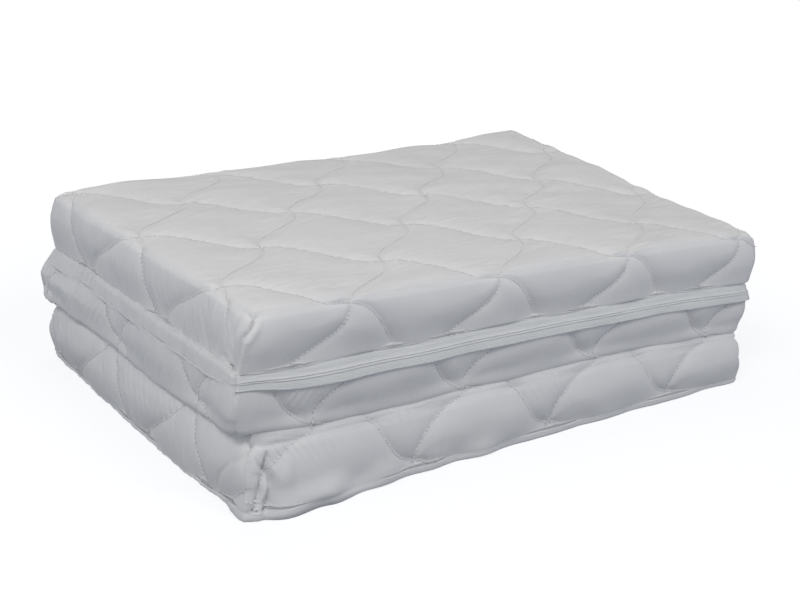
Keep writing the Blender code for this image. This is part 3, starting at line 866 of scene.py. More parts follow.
def new_material(name: str, gloss: dict[str, object]) -> tuple[bpy.types.Material, Graph]:
    """A material with a fresh surface shader.

    Args:
        name: The material's name.
        gloss: Fixed values for the shader's own sockets.

    Returns:
        The material and its node tree.
    """
    made = bpy.data.materials.new(name)
    made.use_nodes = True
    shader = made.node_tree.nodes["Principled BSDF"]
    for socket, value in gloss.items():
        shader.inputs[socket].default_value = value
    return made, Graph(made.node_tree)


def plug(graph: Graph, **signals: Signal) -> None:
    """Links signals to the surface shader's sockets, which are named with underscores."""
    shader = graph.tree.nodes["Principled BSDF"]
    for name, signal in signals.items():
        graph.tree.links.new(signal.socket, shader.inputs[name.replace("_", " ")])




@dataclass(frozen=True)
class WovenCotton:
    """Fine cloth of the case, with a close weave and long soft slubs."""

    name: str
    light: Colour = (0.804, 0.798, 0.790, 1.0)
    shade: Colour = (0.762, 0.759, 0.764, 1.0)
    thread_pitch: float = 0.00055
    slub: float = 0.00032
    fleck: Colour = (0.70, 0.70, 0.70, 1.0)
    slub_scale: Span = (26.0, 230.0)
    wall_calm: float = 0.72
    thread_height: float = 0.00008

    def build(self) -> bpy.types.Material:
        """Makes the material."""
        gloss = {"Sheen Weight": 0.12, "Sheen Roughness": 0.45, "Specular IOR Level": 0.25}
        made, graph = new_material(self.name, gloss)
        sheet = graph.sheet()
        solid = graph.solid()
        fall = graph.node("ShaderNodeAttribute", {"attribute_name": "fall"}, None, "Fac")
        parts = graph.node("ShaderNodeSeparateXYZ", None, {0: sheet})
        turns = 2 * math.pi / self.thread_pitch
        warp = (parts * turns).sine()
        weft = (parts.output("Y") * turns).sine()
        weave = warp * weft * 0.5 + 0.5
        long, close = self.slub_scale
        along = graph.noise(graph.stretched(sheet, (long, close, 0)), 1.0, 4.0)
        down = graph.noise(graph.stretched(sheet, (close, long, 0)), 1.0, 4.0)
        slubs = along * (1 - fall) + down * fall
        tone = graph.noise(solid, 9.0, 4.0)
        speck = graph.noise(solid, 1400.0, 2.0)
        cloth = graph.mix((tone - 0.35) * 2.2, self.light, self.shade)
        cloth = graph.mix((speck - 0.55) * 0.5, cloth, self.fleck)
        soft = graph.bump(slubs * (1 - self.wall_calm * fall), self.slub * 4)
        height = self.thread_height
        threads = {"Height": weave, "Distance": height, "Strength": 0.5, "Normal": soft}
        fine = graph.node("ShaderNodeBump", None, threads)
        plug(graph, Base_Color=cloth, Roughness=0.80 + 0.12 * speck, Normal=fine)
        return made


@dataclass(frozen=True)
class TapeWeave:
    """The zip's close ribbed tape."""

    name: str
    colour: Colour = (0.780, 0.785, 0.775, 1.0)
    dark: Colour = (0.700, 0.708, 0.698, 1.0)
    rib_pitch: float = 0.0013
    pick_pitch: float = 0.0007
    rib_height: float = 0.00022

    def build(self) -> bpy.types.Material:
        """Makes the material."""
        made, graph = new_material(self.name, {"Specular IOR Level": 0.3, "Sheen Weight": 0.1})
        sheet = graph.sheet()
        parts = graph.node("ShaderNodeSeparateXYZ", None, {0: sheet})
        across = parts.output("Y")
        slant = parts * (2 * math.pi / self.pick_pitch)
        ribs = (across * (2 * math.pi / self.rib_pitch)).sine()
        picks = (slant + ribs * 1.6).sine()
        cloth = ribs * 0.3 + picks * 0.2 + 0.5
        tone = graph.noise(graph.stretched(sheet, (30, 600, 0)), 1.0, 3.0)
        colour = graph.mix((tone - 0.3) * 1.5, self.colour, self.dark)
        normal = graph.bump(cloth, self.rib_height, 0.8)
        plug(graph, Base_Color=colour, Roughness=0.62 + 0.2 * tone, Normal=normal)
        return made


@dataclass(frozen=True)
class SewingThread:
    """Twisted white thread."""

    name: str = "sewing_thread"
    light: Colour = (0.93, 0.93, 0.93, 1.0)
    dark: Colour = (0.82, 0.82, 0.83, 1.0)

    def build(self) -> bpy.types.Material:
        """Makes the material."""
        made, graph = new_material(self.name, {"Specular IOR Level": 0.4})
        solid = graph.solid()
        strands = graph.noise(solid, 2600.0, 2.0)
        normal = graph.bump(strands, 0.00012)
        colour = graph.mix(strands, self.light, self.dark)
        plug(graph, Base_Color=colour, Roughness=0.55 + 0.2 * strands, Normal=normal)
        return made


@dataclass(frozen=True)
class MouldedNylon:
    """The zip's white coil."""

    name: str = "coil_nylon"
    light: Colour = (0.80, 0.81, 0.80, 1.0)
    dark: Colour = (0.70, 0.71, 0.70, 1.0)

    def build(self) -> bpy.types.Material:
        """Makes the material."""
        made, graph = new_material(self.name, {"Specular IOR Level": 0.5})
        solid = graph.solid()
        tone = graph.noise(solid, 700.0, 3.0)
        colour = graph.mix(tone, self.light, self.dark)
        normal = graph.bump(tone, 0.00006)
        plug(graph, Base_Color=colour, Roughness=0.35 + 0.2 * tone, Normal=normal)
        return made


@dataclass(frozen=True)
class PlatedZinc:
    """The slider's brushed plating, a little dull in random patches."""

    name: str = "plated_zinc"
    bright: Colour = (0.66, 0.66, 0.65, 1.0)
    tarnished: Colour = (0.50, 0.50, 0.50, 1.0)

    def build(self) -> bpy.types.Material:
        """Makes the material."""
        made, graph = new_material(self.name, {})
        solid = graph.solid()
        brushed = graph.noise(graph.stretched(solid, (900, 120, 900)), 1.0, 4.0)
        tarnish = graph.noise(solid, 380.0, 3.0)
        colour = graph.mix(tarnish, self.bright, self.tarnished)
        normal = graph.bump(brushed, 0.00005)
        plug(
            graph,
            Base_Color=colour,
            Roughness=0.24 + 0.22 * tarnish,
            Metallic=0.93 + 0.07 * brushed,
            Normal=normal,
        )
        return made


@dataclass(frozen=True)
class OpenFoam:
    """Cream foam with open pores."""

    name: str = "open_foam"
    pore: Colour = (0.62, 0.55, 0.38, 1.0)
    cream: Colour = (0.86, 0.80, 0.62, 1.0)

    def build(self) -> bpy.types.Material:
        """Makes the material."""
        made, graph = new_material(self.name, {"Specular IOR Level": 0.2})
        solid = graph.solid()
        pores = graph.node("ShaderNodeTexVoronoi", None, {"Vector": solid, "Scale": 900.0})
        tone = graph.noise(solid, 40.0, 4.0)
        depth = pores * 1.4
        colour = graph.mix(depth, self.pore, self.cream)
        normal = graph.bump(depth, 0.0004)
        plug(graph, Base_Color=colour, Roughness=0.85 + 0.1 * tone, Normal=normal)
        return made


@dataclass
class Finishes:
    """One material for each finish of the mattress."""

    cloth: bpy.types.Material
    lining: bpy.types.Material
    tape: bpy.types.Material
    thread: bpy.types.Material
    coil: bpy.types.Material
    metal: bpy.types.Material
    foam: bpy.types.Material

    @classmethod
    def build(cls) -> "Finishes":
        """Makes them all."""
        lining = WovenCotton(
            "lining_cloth",
            light=(0.800, 0.795, 0.790, 1.0),
            shade=(0.758, 0.756, 0.762, 1.0),
            thread_pitch=0.0008,
            slub=0.0007,
        )
        return cls(
            cloth=WovenCotton("case_cloth").build(),
            lining=lining.build(),
            tape=TapeWeave("zip_tape").build(),
            thread=SewingThread().build(),
            coil=MouldedNylon().build(),
            metal=PlatedZinc().build(),
            foam=OpenFoam().build(),
        )


# ---------------------------------------------------------------- meshes


def new_piece(
    name: str,
    points: Points,
    faces: list | Points,
    finish: bpy.types.Material,
    sheet: Points | None = None,
    fall: Points | None = None,
) -> bpy.types.Object:
    """Makes a piece of points and faces.

    Args:
        name: The piece's name.
        points: Its points, in the frame's axes.
        faces: Its faces as lists of point numbers, looking outwards.
        finish: Its material.
        sheet: Each point's place on the flat cloth, or each face corner's, for the UV map.
        fall: Each point's share of slubs that run down the wall.

    Returns:
        The new object, at the origin.
    """
    mesh = bpy.data.meshes.new(name)
    mesh.from_pydata(points.tolist(), [], [list(map(int, face)) for face in faces])
    corner = np.zeros(len(mesh.loops), np.int32)
    mesh.loops.foreach_get("vertex_index", corner)
    if sheet is not None:
        layer = mesh.uv_layers.new(name="sheet")
        sheet = sheet if len(sheet) == len(corner) else sheet[corner]
        layer.data.foreach_set("uv", sheet.astype(np.float32).ravel())
    if fall is not None:
        attribute = mesh.attributes.new("fall", "FLOAT", "POINT")
        attribute.data.foreach_set("value", fall.astype(np.float32))
    mesh.materials.append(finish)
    mesh.shade_smooth()
    mesh.update()
    made = bpy.data.objects.new(name, mesh)
    bpy.context.scene.collection.objects.link(made)
    return made


def vertex_normals(piece: bpy.types.Object) -> Points:
    """The outward ways at a piece's points."""
    found = np.zeros(len(piece.data.vertices) * 3, np.float32)
    piece.data.vertices.foreach_get("normal", found)
    return found.reshape(-1, 3).astype(float)


# ---------------------------------------------------------------- panels


@dataclass(frozen=True)
class PanelLook:
    """What one panel's case is like.

    lap: how far the face or the foot stands up at its rim. press: how far the quilting is
    pressed flat. puff: how far the base cloth bags out. flare: how far the zip's edge stands
    out. soften: how far the upper edge sinks at the front, the left and the near corner.
    swell and push: how far a wall bags out at its foot, half way up and at its top.
    """

    name: str
    place: Place
    form: CaseForm
    quilting: Quilting
    seam_height: float = 0.013
    folds: tuple[Fold, ...] = ()
    ruffles: tuple[Ruffle, ...] = ()
    seed: int = 1
    lap_face: float = 0.0
    lap_foot: float = 0.0
    press: float = 0.0
    edge_press: float = 0.0
    puff: float = 0.0
    puff_wall: float = 0.0
    flare: float = 0.0
    near_seam: float = 1.0
    soften: tuple[float, float, float] = (0.0, 0.0, 0.0)
    drape: float = 0.0003
    soft_in: float = 0.012
    soft_down: float = 0.012
    swell: tuple[float, float, float] = (0.0, 0.0, 0.0)
    swell_near: tuple[float, float, float] = (0.0, 0.0, 0.0)
    swell_span: Span = (-0.14, 0.14)
    swell_right: tuple[float, float, float] = (0.0, 0.0, 0.0)
    near_round: float = 0.0
    near_push: tuple[float, float, float] = (0.0, 0.0, 0.0)
    low_seam: float = 0.0
    seam_depth: float = 1.0
    far_press: float = 0.0


@dataclass
class PanelCase:
    """A quilted panel: its cover, base cloth, foam and stitches."""

    look: PanelLook
    settle: Settle
    fine: float = 0.0012
    coarse: float = 0.0021
    row_step: float = 0.0018
    base_step: float = 0.0036
    foam_step: float = 0.014
    foam_row_step: float = 0.012
    foam_gap: float = 0.0020
    inner_every: int = 8
    cover_wall: float = 0.0150
    corner_tuck: float = 0.0016
    tuck: float = 0.0030
    tuck_depth: float = 0.0014
    cover_tuck: float = 0.0006
    seam_line: float = 0.0012
    lap_rim: Span = (0.010, 0.034)
    lap_height: float = 0.014
    zip_foot: Span = (0.0225, 0.0260)
    zip_height: float = 0.0224
    zip_lift: float = 0.26
    zip_corner: float = 0.062
    stitch_step: float = 0.0012
    stitch_margin: float = 0.0015
    stitch_lines: int = 9
    fill: float = 0.8
    crease_reach: Span = (0.004, 0.010)
    low_seam_in: float = 0.020
    low_seam_up: float = 0.025
    low_seam_front: Span = (-0.185, -0.155)
    low_seam_back: Span = (0.150, 0.185)
    zip_fade: float = 0.012
    corner_reach: float = 0.030
    round_reach: float = 0.014
    round_foot: Span = (0.003, 0.020)
    swell_corner: Span = (0.01, 0.12)
    swell_in: float = 0.045
    push_reach: float = 0.034
    right_in: float = 0.030
    right_front: Span = (-0.165, -0.080)
    flare_rise: float = 0.0215
    flare_dip: float = 0.16
    flare_dip_span: Span = (0.0222, 0.0240)
    flare_fall: Span = (0.022, 0.056)
    flare_left: float = 0.03
    flare_right: Span = (-0.16, -0.13)
    seam_joint: Span = (0.0005, 0.016)
    broad_puff: float = 0.0006
    drawn_puff: float = 0.0009
    front_drape: float = 0.00012
    small_drape: float = 0.00005
    tuck_span: Span = (-0.0004, 0.0022)
    puff_below: float = 0.0045
    puff_above: float = 0.013
    puff_waves: float = 0.35
    puff_rest: float = 0.16
    puff_span: Span = (-0.14, 0.30)
    bag: float = 1.3
    bag_place: Span = (-0.232, 0.042)
    puff_left: float = 1.05
    puff_left_in: float = 0.035
    puff_base: float = 0.3
    press_in: float = 0.013
    edge_reach: Span = (0.006, 0.005)
    far_reach: Span = (0.014, 0.020)
    seam_fade: float = 0.0028
    line_share: float = 0.75
    line_reach: float = 0.0012
    crook_reach: float = 0.006
    fall_span: Span = (0.74, 0.99)
    shortest: int = 6

    def __post_init__(self) -> None:
        """Works out where the wall's seam lies."""
        form = self.look.form
        self.near = 1 if self.look.place.flipped else -1
        self.seam_run = form.run_at(self.look.seam_height)

    def _rows(self, start: float, end: float, step: float) -> Points:
        """Rows down the wall, about a step apart."""
        return np.linspace(start, end, max(2, round((end - start) / step) + 1))

    def from_edges(self, points: Points) -> tuple[Points, Points]:
        """Distances in from the panel's left and from its front edge."""
        place = self.look.place
        form = self.look.form
        from_left = points[:, 0] - (place.x - form.length / 2)
        return from_left, points[:, 1] - (place.y - form.depth / 2)

    def inward(self, local: Points) -> Points:
        """How far points in the panel's own axes lie in from the nearest wall."""
        half = np.array((self.look.form.length, self.look.form.depth)) / 2
        return (half - np.abs(local[:, :2])).min(axis=1)

    def shaped(self, net: SheetGrid) -> Points:
        """The net's points in the frame's axes, with quilting, folds and settling.

        Args:
            net: The net of a cover or a base cloth.

        Returns:
            One point for each point of the net.
        """
        past = net.run - self.seam_run
        if net.face_index is None:
            groove = self.tuck_depth * self.look.seam_depth
            lift = self.puffed(net) - groove * (1 - smooth(*self.tuck_span, past))
        else:
            groove = self.cover_tuck * self.look.seam_depth
            lift = -self.look.quilting.sink(net.u, net.v) * self.hold(net)
            lift = lift - groove * np.exp(-np.maximum(-past, 0) / self.seam_line)
            lift = lift + self.puffed(net)
        lift = lift - self.corner_tuck * self.corner_share(net)
        return self.placed(net, lift)

    def placed(self, net: SheetGrid, lift: Points) -> Points:
        """The net's points in the frame's axes, raised from the case's soft form.

        Args:
            net: A net on the panel's sheet.
            lift: How far each point lies above the form.

        Returns:
            One point for each point of the net.
        """
        look = self.look
        form = look.form
        local = net.local.copy()
        rim = 1 - smooth(*self.lap_rim, self.inward(local))
        high = smooth(form.height - self.lap_height, form.height, local[:, 2])
        low = 1 - smooth(0.0, self.lap_height, local[:, 2])
        local[:, 2] += rim * (look.lap_face * high - look.lap_foot * low)
        points = look.place.out(local)
        normal = look.place.turn(net.normal)
        wall = np.sqrt(np.clip(1 - normal[:, 2] ** 2, 0, 1))
        lift = lift + self.slack(net, wall) + self.flared(net) + self.creased(net, points)
        lift = lift - self.softened(points) - self.rounded(points, wall)
        points[:, 2] += self.raised(net, points, wall)
        points = self.settle.moved(points + normal * lift[:, None])
        points[:, 0] += self.swollen(points)
        if look.place.base < MM:
            points[:, 2] = np.maximum(points[:, 2], 0)
        return points

    def creased(self, net: SheetGrid, points: Points) -> Points:
        """How far the folds and ruffles by the walls lift the cloth."""
        look = self.look
        from_left, from_front = self.from_edges(points)
        depth = np.minimum(from_left, from_front)
        flat, fade = self.crease_reach
        by_wall = bell(np.maximum(depth - flat, 0), fade)
        below = look.form.whole - net.run
        off_zip = smooth(*self.zip_foot, below) if look.flare else 1.0
        found = np.zeros(len(points))
        for items, share in ((look.folds, by_wall), (look.ruffles, by_wall * off_zip)):
            for item in items:
                found += item.heights(from_left - from_front, points[:, 2]) * share
        return found

    def raised(self, net: SheetGrid, points: Points, wall: Points) -> Points:
        """How far cloth is drawn down at the left's low seam, or up by the zip's near end."""
        look = self.look
        from_left, from_front = self.from_edges(points)
        if look.low_seam:
            y = points[:, 1]
            by_left = 1 - smooth(0.0, self.low_seam_in, from_left)
            between = smooth(*self.low_seam_front, y) * (1 - smooth(*self.low_seam_back, y))
            end = look.seam_height + self.low_seam_up
            fade = 1 - smooth(look.seam_height, end, points[:, 2])
            above = np.minimum(points[:, 2] / look.seam_height, 1)
            return -look.low_seam * above * fade * by_left * between
        if look.flare:
            below = look.form.whole - net.run
            close = 1 - smooth(0.0, self.zip_corner, np.abs(from_left - from_front))
            fade = bell(np.maximum(below - self.zip_height, 0), self.zip_fade)
            return self.zip_lift * close * np.minimum(below, self.zip_height) * fade * wall
        return np.zeros(len(points))

    def softened(self, points: Points) -> Points:
        """How far the panel's upper edge sinks in, at its front, left and near corner."""
        look = self.look
        place = look.place
        front, left, corner = look.soften
        in_x, in_y = (np.maximum(distance, 0) for distance in self.from_edges(points))
        down = bell(place.base + place.height - points[:, 2], look.soft_down)
        found = front * bell(in_y, look.soft_in) + left * bell(in_x, look.soft_in)
        near = bell(np.hypot(in_x, in_y), self.corner_reach)
        near = near * bell(np.minimum(in_x, in_y), look.soft_in)
        return (found + corner * near) * down

    def rounded(self, points: Points, wall: Points) -> Points:
        """How far the upright edge at the near corner is worn in."""
        look = self.look
        from_left, from_front = self.from_edges(points)
        shape = look.near_round * bell(from_left - from_front, self.round_reach) * wall
        if look.place.base < MM:
            shape = shape * smooth(*self.round_foot, points[:, 2])
        return shape

    def swollen(self, points: Points) -> Points:
        """How far the short walls bag out, by height: the left one towards the back."""
        look = self.look
        place = look.place
        level = np.clip((points[:, 2] - place.base) / place.height, 0, 1)
        steps = (0.0, 0.5, 1.0)
        from_left, from_front = self.from_edges(points)
        from_right = look.form.length - from_left
        far = smooth(*look.swell_span, points[:, 1])
        left = np.interp(level, steps, look.swell) * far
        past_corner = smooth(*self.swell_corner, from_front)
        left += np.interp(level, steps, look.swell_near) * (1 - far) * past_corner
        left = left * (1 - smooth(0.0, self.swell_in, from_left))
        near = np.interp(level, steps, look.near_push)
        near = near * bell(np.hypot(from_left, from_front), self.push_reach)
        right = np.interp(level, steps, look.swell_right)
        right = right * (1 - smooth(0.0, self.right_in, from_right))
        return right * (1 - smooth(*self.right_front, points[:, 1])) - left - near

    def flared(self, net: SheetGrid) -> Points:
        """How far the zip's edge of the case stands out, most at the zip's lower side."""
        if not self.look.flare:
            return np.zeros_like(net.u)
        below = self.look.form.whole - net.run
        dip = self.flare_dip * smooth(*self.flare_dip_span, below)
        shape = smooth(0.0, self.flare_rise, below) * (1 - dip)
        shape = shape * (1 - smooth(*self.flare_fall, below))
        from_left = net.u + self.look.form.core_x
        front = net.on(Side.BACK) * smooth(0.0, self.flare_left, from_left)
        right = net.on(Side.RIGHT) * smooth(*self.flare_right, net.v)
        return self.look.flare * shape * (front + right)

    def puffed(self, net: SheetGrid) -> Points:
        """How far the base cloth bags out below the wall's seam."""
        if not self.look.puff:
            return np.zeros_like(net.u)
        look = self.look
        past = net.run - self.seam_run
        strip = look.puff_wall + (1 - look.puff_wall) * smooth(0.0, self.puff_below, past)
        if net.face_index is not None:
            strip = look.puff_wall * bell(past, self.puff_above)
        waves = 1 + self.puff_waves * Waves(71, 0.07, 0.07).at(net.u, net.v)
        calm = self.puff_rest
        bag_x, bag_reach = self.bag_place
        front = calm + (1 - calm) * smooth(*self.puff_span, -net.u)
        front = front + self.bag * bell(net.u - bag_x, bag_reach)
        from_front = net.v + look.form.depth / 2
        left = self.puff_left * (1 - smooth(0.0, self.puff_left_in, from_front))
        rest = {Side.BASE: self.puff_base, Side.FACE: 0.0, Side.BACK: calm, Side.RIGHT: calm}
        share = np.where(net.on(Side.LEFT), left, front)
        for side, value in rest.items():
            share = np.where(net.on(side), value, share)
        return look.puff * strip * share * waves

    def hold(self, net: SheetGrid) -> Points:
        """How much of the quilting's relief shows: none at the wall's seam, less where pressed."""
        look = self.look
        form = look.form
        inside = smooth(0.0, self.press_in, self.inward(net.local))
        covered = look.press * inside * net.on(Side.FACE)
        above, below = self.edge_reach
        edge = look.edge_press * bell(np.minimum(net.run - form.quarter / 2, 0), above)
        edge = edge * bell(np.maximum(net.run - form.quarter, 0), below)
        far_x = np.abs(net.local[:, 0] - form.length / 2)
        far_y = np.abs(net.local[:, 1] + self.near * form.depth / 2)
        far_in, far_down = self.far_reach
        far = look.far_press * bell(np.minimum(far_x, far_y), far_in)
        far = far * bell(form.height - net.local[:, 2], far_down)
        shown = smooth(0.0, self.seam_fade, self.seam_run - net.run) * self.joined(net)
        return shown * (1 - covered) * (1 - edge) * (1 - far)

    def corner_gap(self, net: SheetGrid) -> tuple[Points, Points]:
        """Each point's distance from an upright seam, and whether that is the near one."""
        form = self.look.form
        gap_x = np.maximum(form.core_x + form.ring - np.abs(net.u), 0)
        gap_y = np.maximum(form.core_y + form.ring - np.abs(net.v), 0)
        return np.hypot(gap_x, gap_y), (net.u < 0) & (net.v * self.near > 0)

    def joined(self, net: SheetGrid) -> Points:
        """How much of the sheet's own relief shows: none where the near seam is smoothed."""
        gap, near = self.corner_gap(net)
        return 1 - (1 - min(self.look.near_seam, 1)) * near * (1 - smooth(*self.seam_joint, gap))

    def corner_share(self, net: SheetGrid) -> Points:
        """One on the upright seams at the corners, and none away from them."""
        gap, near = self.corner_gap(net)
        share = self.line_share * np.exp(-gap / self.line_reach)
        share = share + (1 - self.line_share) * bell(gap, self.crook_reach)
        share = share * np.where(near, self.look.near_seam, 1.0)
        return np.where(net.on(Side.BASE), 0.0, share)

    def slack(self, net: SheetGrid, wall: Points) -> Points:
        """Soft random puffs and slubs of the cloth."""
        seed = self.look.seed * 100
        broad = Waves(seed + 1, 0.11, 0.09).at(net.u, net.v)
        _, second_gap = self.look.quilting.gaps(net.u, net.v)
        drawn = Waves(seed + 4, 0.085, 0.013, 0.4).at(net.u, net.v - 0.12 * net.u)
        drawn = drawn * np.exp(-second_gap / 0.022) * smooth(0.002, 0.009, second_gap) * (1 - wall)
        on_front = net.on(Side.FRONT, Side.BACK)
        u = np.where(on_front, net.v, net.u)
        v = np.where(on_front, net.u, net.v)
        drape = Waves(seed + 2, 0.16, 0.017, 0.5).at(u, v)
        small = Waves(seed + 3, 0.07, 0.009, 0.5).at(u, v)
        form = self.look.form
        down = wall * smooth(form.quarter / 2, form.quarter + 0.015, net.run)
        left = down * net.on(Side.LEFT, Side.RIGHT)
        lift = self.broad_puff * broad + self.drawn_puff * drawn
        lift = lift + (self.front_drape * down + self.look.drape * left) * drape
        return (lift + self.small_drape * down * small) * self.joined(net)

    def build(self, finishes: Finishes) -> list[bpy.types.Object]:
        """Makes the panel's pieces.

        Args:
            finishes: The materials.

        Returns:
            Cover, base cloth, foam and stitches.
        """
        form = self.look.form
        name = self.look.name
        rows = self._rows(form.quarter / 2, self.seam_run, self.row_step)
        cover_net = SheetGrid(form, self.near, self.fine, self.coarse, rows, True, False)
        cover = self._closed(f"{name}_cover", cover_net, finishes.cloth, True)
        foot = form.whole - form.foot_quarter / 2
        rows = self._rows(self.seam_run - self.tuck, foot, self.row_step)
        base_net = SheetGrid(form, self.near, self.base_step, self.base_step, rows, False, True)
        base = self._closed(f"{name}_underside", base_net, finishes.lining, False)
        foam = self._foam(finishes.foam)
        stitches = self._stitches(cover, cover_net, finishes.thread)
        body = f"{name}_panel"
        for piece, node, slot in (
            (cover, f"{name}_quilted_cover", "quilted_cloth"),
            (base, f"{name}_base_cloth", "base_cloth"),
            (foam, f"{name}_foam_core", "foam"),
        ):
            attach(piece, body)
            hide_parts(node)
        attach(stitches, body)
        return [cover, base, foam, stitches]

    def _closed(
        self, name: str, net: SheetGrid, finish: bpy.types.Material, is_cover: bool
    ) -> bpy.types.Object:
        """A cover or base cloth with its wadding, closed along a coarse inner side."""
        outside = self.shaped(net)
        keep_u = self._kept(len(net.lines_u))
        keep_v = self._kept(len(net.lines_v))
        rim_row = net.ring_index[-1] if is_cover else net.ring_index[0]
        patch = net.face_index if is_cover else net.base_index
        columns = [k for k in range(net.around) if self._on_coarse(net, k, keep_u, keep_v)]
        coarse_patch = patch[np.ix_(keep_u, keep_v)]
        ring = net.ring_index[np.ix_([0, len(net.rows) - 1], columns)]
        sources = np.unique(np.concatenate((coarse_patch.ravel(), ring.ravel())))
        number = {int(source): len(outside) + k for k, source in enumerate(sources)}
        within = net.local[sources] - net.normal[sources] * self.cover_wall
        points = np.concatenate((outside, self.settle.moved(self.look.place.out(within))))
        faces = [tuple(quad) for quad in net.quads]
        inner = net.patch(coarse_patch, is_cover)
        faces += [tuple(number[int(k)] for k in quad) for quad in inner]
        after = np.roll(ring, -1, axis=1)
        band = np.stack((ring[0], after[0], after[1], ring[1]), axis=-1)
        faces += [tuple(number[int(k)] for k in quad) for quad in band]
        rim = ring[-1] if is_cover else ring[0]
        for index, column in enumerate(columns):
            following = columns[(index + 1) % len(columns)]
            span = (following - column) % net.around
            outer = [int(rim_row[(column + step) % net.around]) for step in range(span + 1)]
            first = number[int(rim[index])]
            second = number[int(rim[(index + 1) % len(columns)])]
            face = [first, second] + outer[::-1]
            faces.append(tuple(face if not is_cover else face[::-1]))
        sheet = np.column_stack((net.u, net.v))
        sheet = np.concatenate((sheet, sheet[sources]))
        rest = np.concatenate([np.array(face, int) for face in faces[len(net.quads) :]])
        sheet = np.concatenate((net.places().reshape(-1, 2), sheet[rest]))
        on_front = net.on(Side.FRONT, Side.BACK)
        fall = smooth(*self.fall_span, np.abs(net.normal[:, 1])) * on_front
        fall = np.concatenate((fall, fall[sources]))
        return new_piece(name, points, faces, finish, sheet, fall)

    def _kept(self, count: int) -> Points:
        """Evenly spaced line numbers, with both ends among them."""
        kept = max(3, count // self.inner_every)
        return np.unique(np.linspace(0, count - 1, kept).round().astype(int))

    @staticmethod
    def _on_coarse(net: SheetGrid, column: int, keep_u: Points, keep_v: Points) -> bool:
        """Whether a column of the ring stands on a kept line."""
        side = net.ring_side[column]
        if side in (Side.FRONT.value, Side.BACK.value):
            return bool(net.ring_i[column] in keep_u)
        return bool(net.ring_j[column] in keep_v)

    def _foam(self, finish: bpy.types.Material) -> bpy.types.Object:
        """The foam block, inside the case."""
        form = self.look.form
        foot = form.whole - form.foot_quarter / 2
        rows = self._rows(form.quarter / 2, foot, self.foam_row_step)
        net = SheetGrid(form, self.near, self.foam_step, self.foam_step, rows, True, True)
        inset = self.cover_wall + self.foam_gap
        points = self.settle.moved(self.look.place.out(net.local - net.normal * inset))
        sheet = np.column_stack((net.u, net.v))
        return new_piece(f"{self.look.name}_foam_block", points, net.quads, finish, sheet)

    def _stitches(
        self, cover: bpy.types.Object, net: SheetGrid, finish: bpy.types.Material
    ) -> bpy.types.Object:
        """Thread along every stitch line of the cover, laid by a node tree."""
        count = len(net.u)
        points = np.array([vert.co for vert in cover.data.vertices], float)[:count]
        normals = vertex_normals(cover)[:count]
        values = np.column_stack((points, normals))
        form = self.look.form
        half_x = form.core_x + form.ring
        half_y = form.core_y + form.ring
        drop = self.seam_run - form.quarter / 2 - self.stitch_margin
        lines: list[tuple[Points, Points]] = []
        reach = half_x + drop
        for family in (0, 1):
            for number in range(-self.stitch_lines, self.stitch_lines + 1):
                u, v = self.look.quilting.line(family, number, reach, self.stitch_step)
                inside_x = np.abs(u) < half_x
                inside_y = np.abs(v) < half_y
                here = (inside_x & (np.abs(v) < half_y + drop)) | (
                    inside_y & (np.abs(u) < half_x + drop)
                )
                for group in np.split(np.arange(len(u)), np.flatnonzero(np.diff(here)) + 1):
                    if len(group) > self.shortest and here[group[0]]:
                        found = net.sample(values, u[group], v[group])
                        lines.append((found[:, :3], unit(found[:, 3:])))
        return stitch_row(f"{self.look.name}_stitches", lines, finish, Stitch())


# ---------------------------------------------------------------- node-built rows


@dataclass(frozen=True)
class Stitch:
    """The sizes of a row of stitches."""

    pitch: float = 0.0040
    length: float = 0.0029
    thread: float = 0.00110
    lift: float = 0.00080


def path_object(name: str, lines: list[tuple[Points, Points]], lift: float) -> bpy.types.Object:
    """An object of bare edges, with the outward way at each point.

    Args:
        name: The object's name.
        lines: The points of each line and the outward ways there.
        lift: How far the line is moved outwards.

    Returns:
        The new object.
    """
    points = np.concatenate([line + way * lift for line, way in lines])
    ways = np.concatenate([way for _, way in lines])
    edges = []
    start = 0
    for line, _ in lines:
        edges += [(start + k, start + k + 1) for k in range(len(line) - 1)]
        start += len(line)
    mesh = bpy.data.meshes.new(name)
    mesh.from_pydata(points.tolist(), edges, [])
    attribute = mesh.attributes.new("outward", "FLOAT_VECTOR", "POINT")
    attribute.data.foreach_set("vector", ways.astype(np.float32).ravel())
    made = bpy.data.objects.new(name, mesh)
    bpy.context.scene.collection.objects.link(made)
    return made


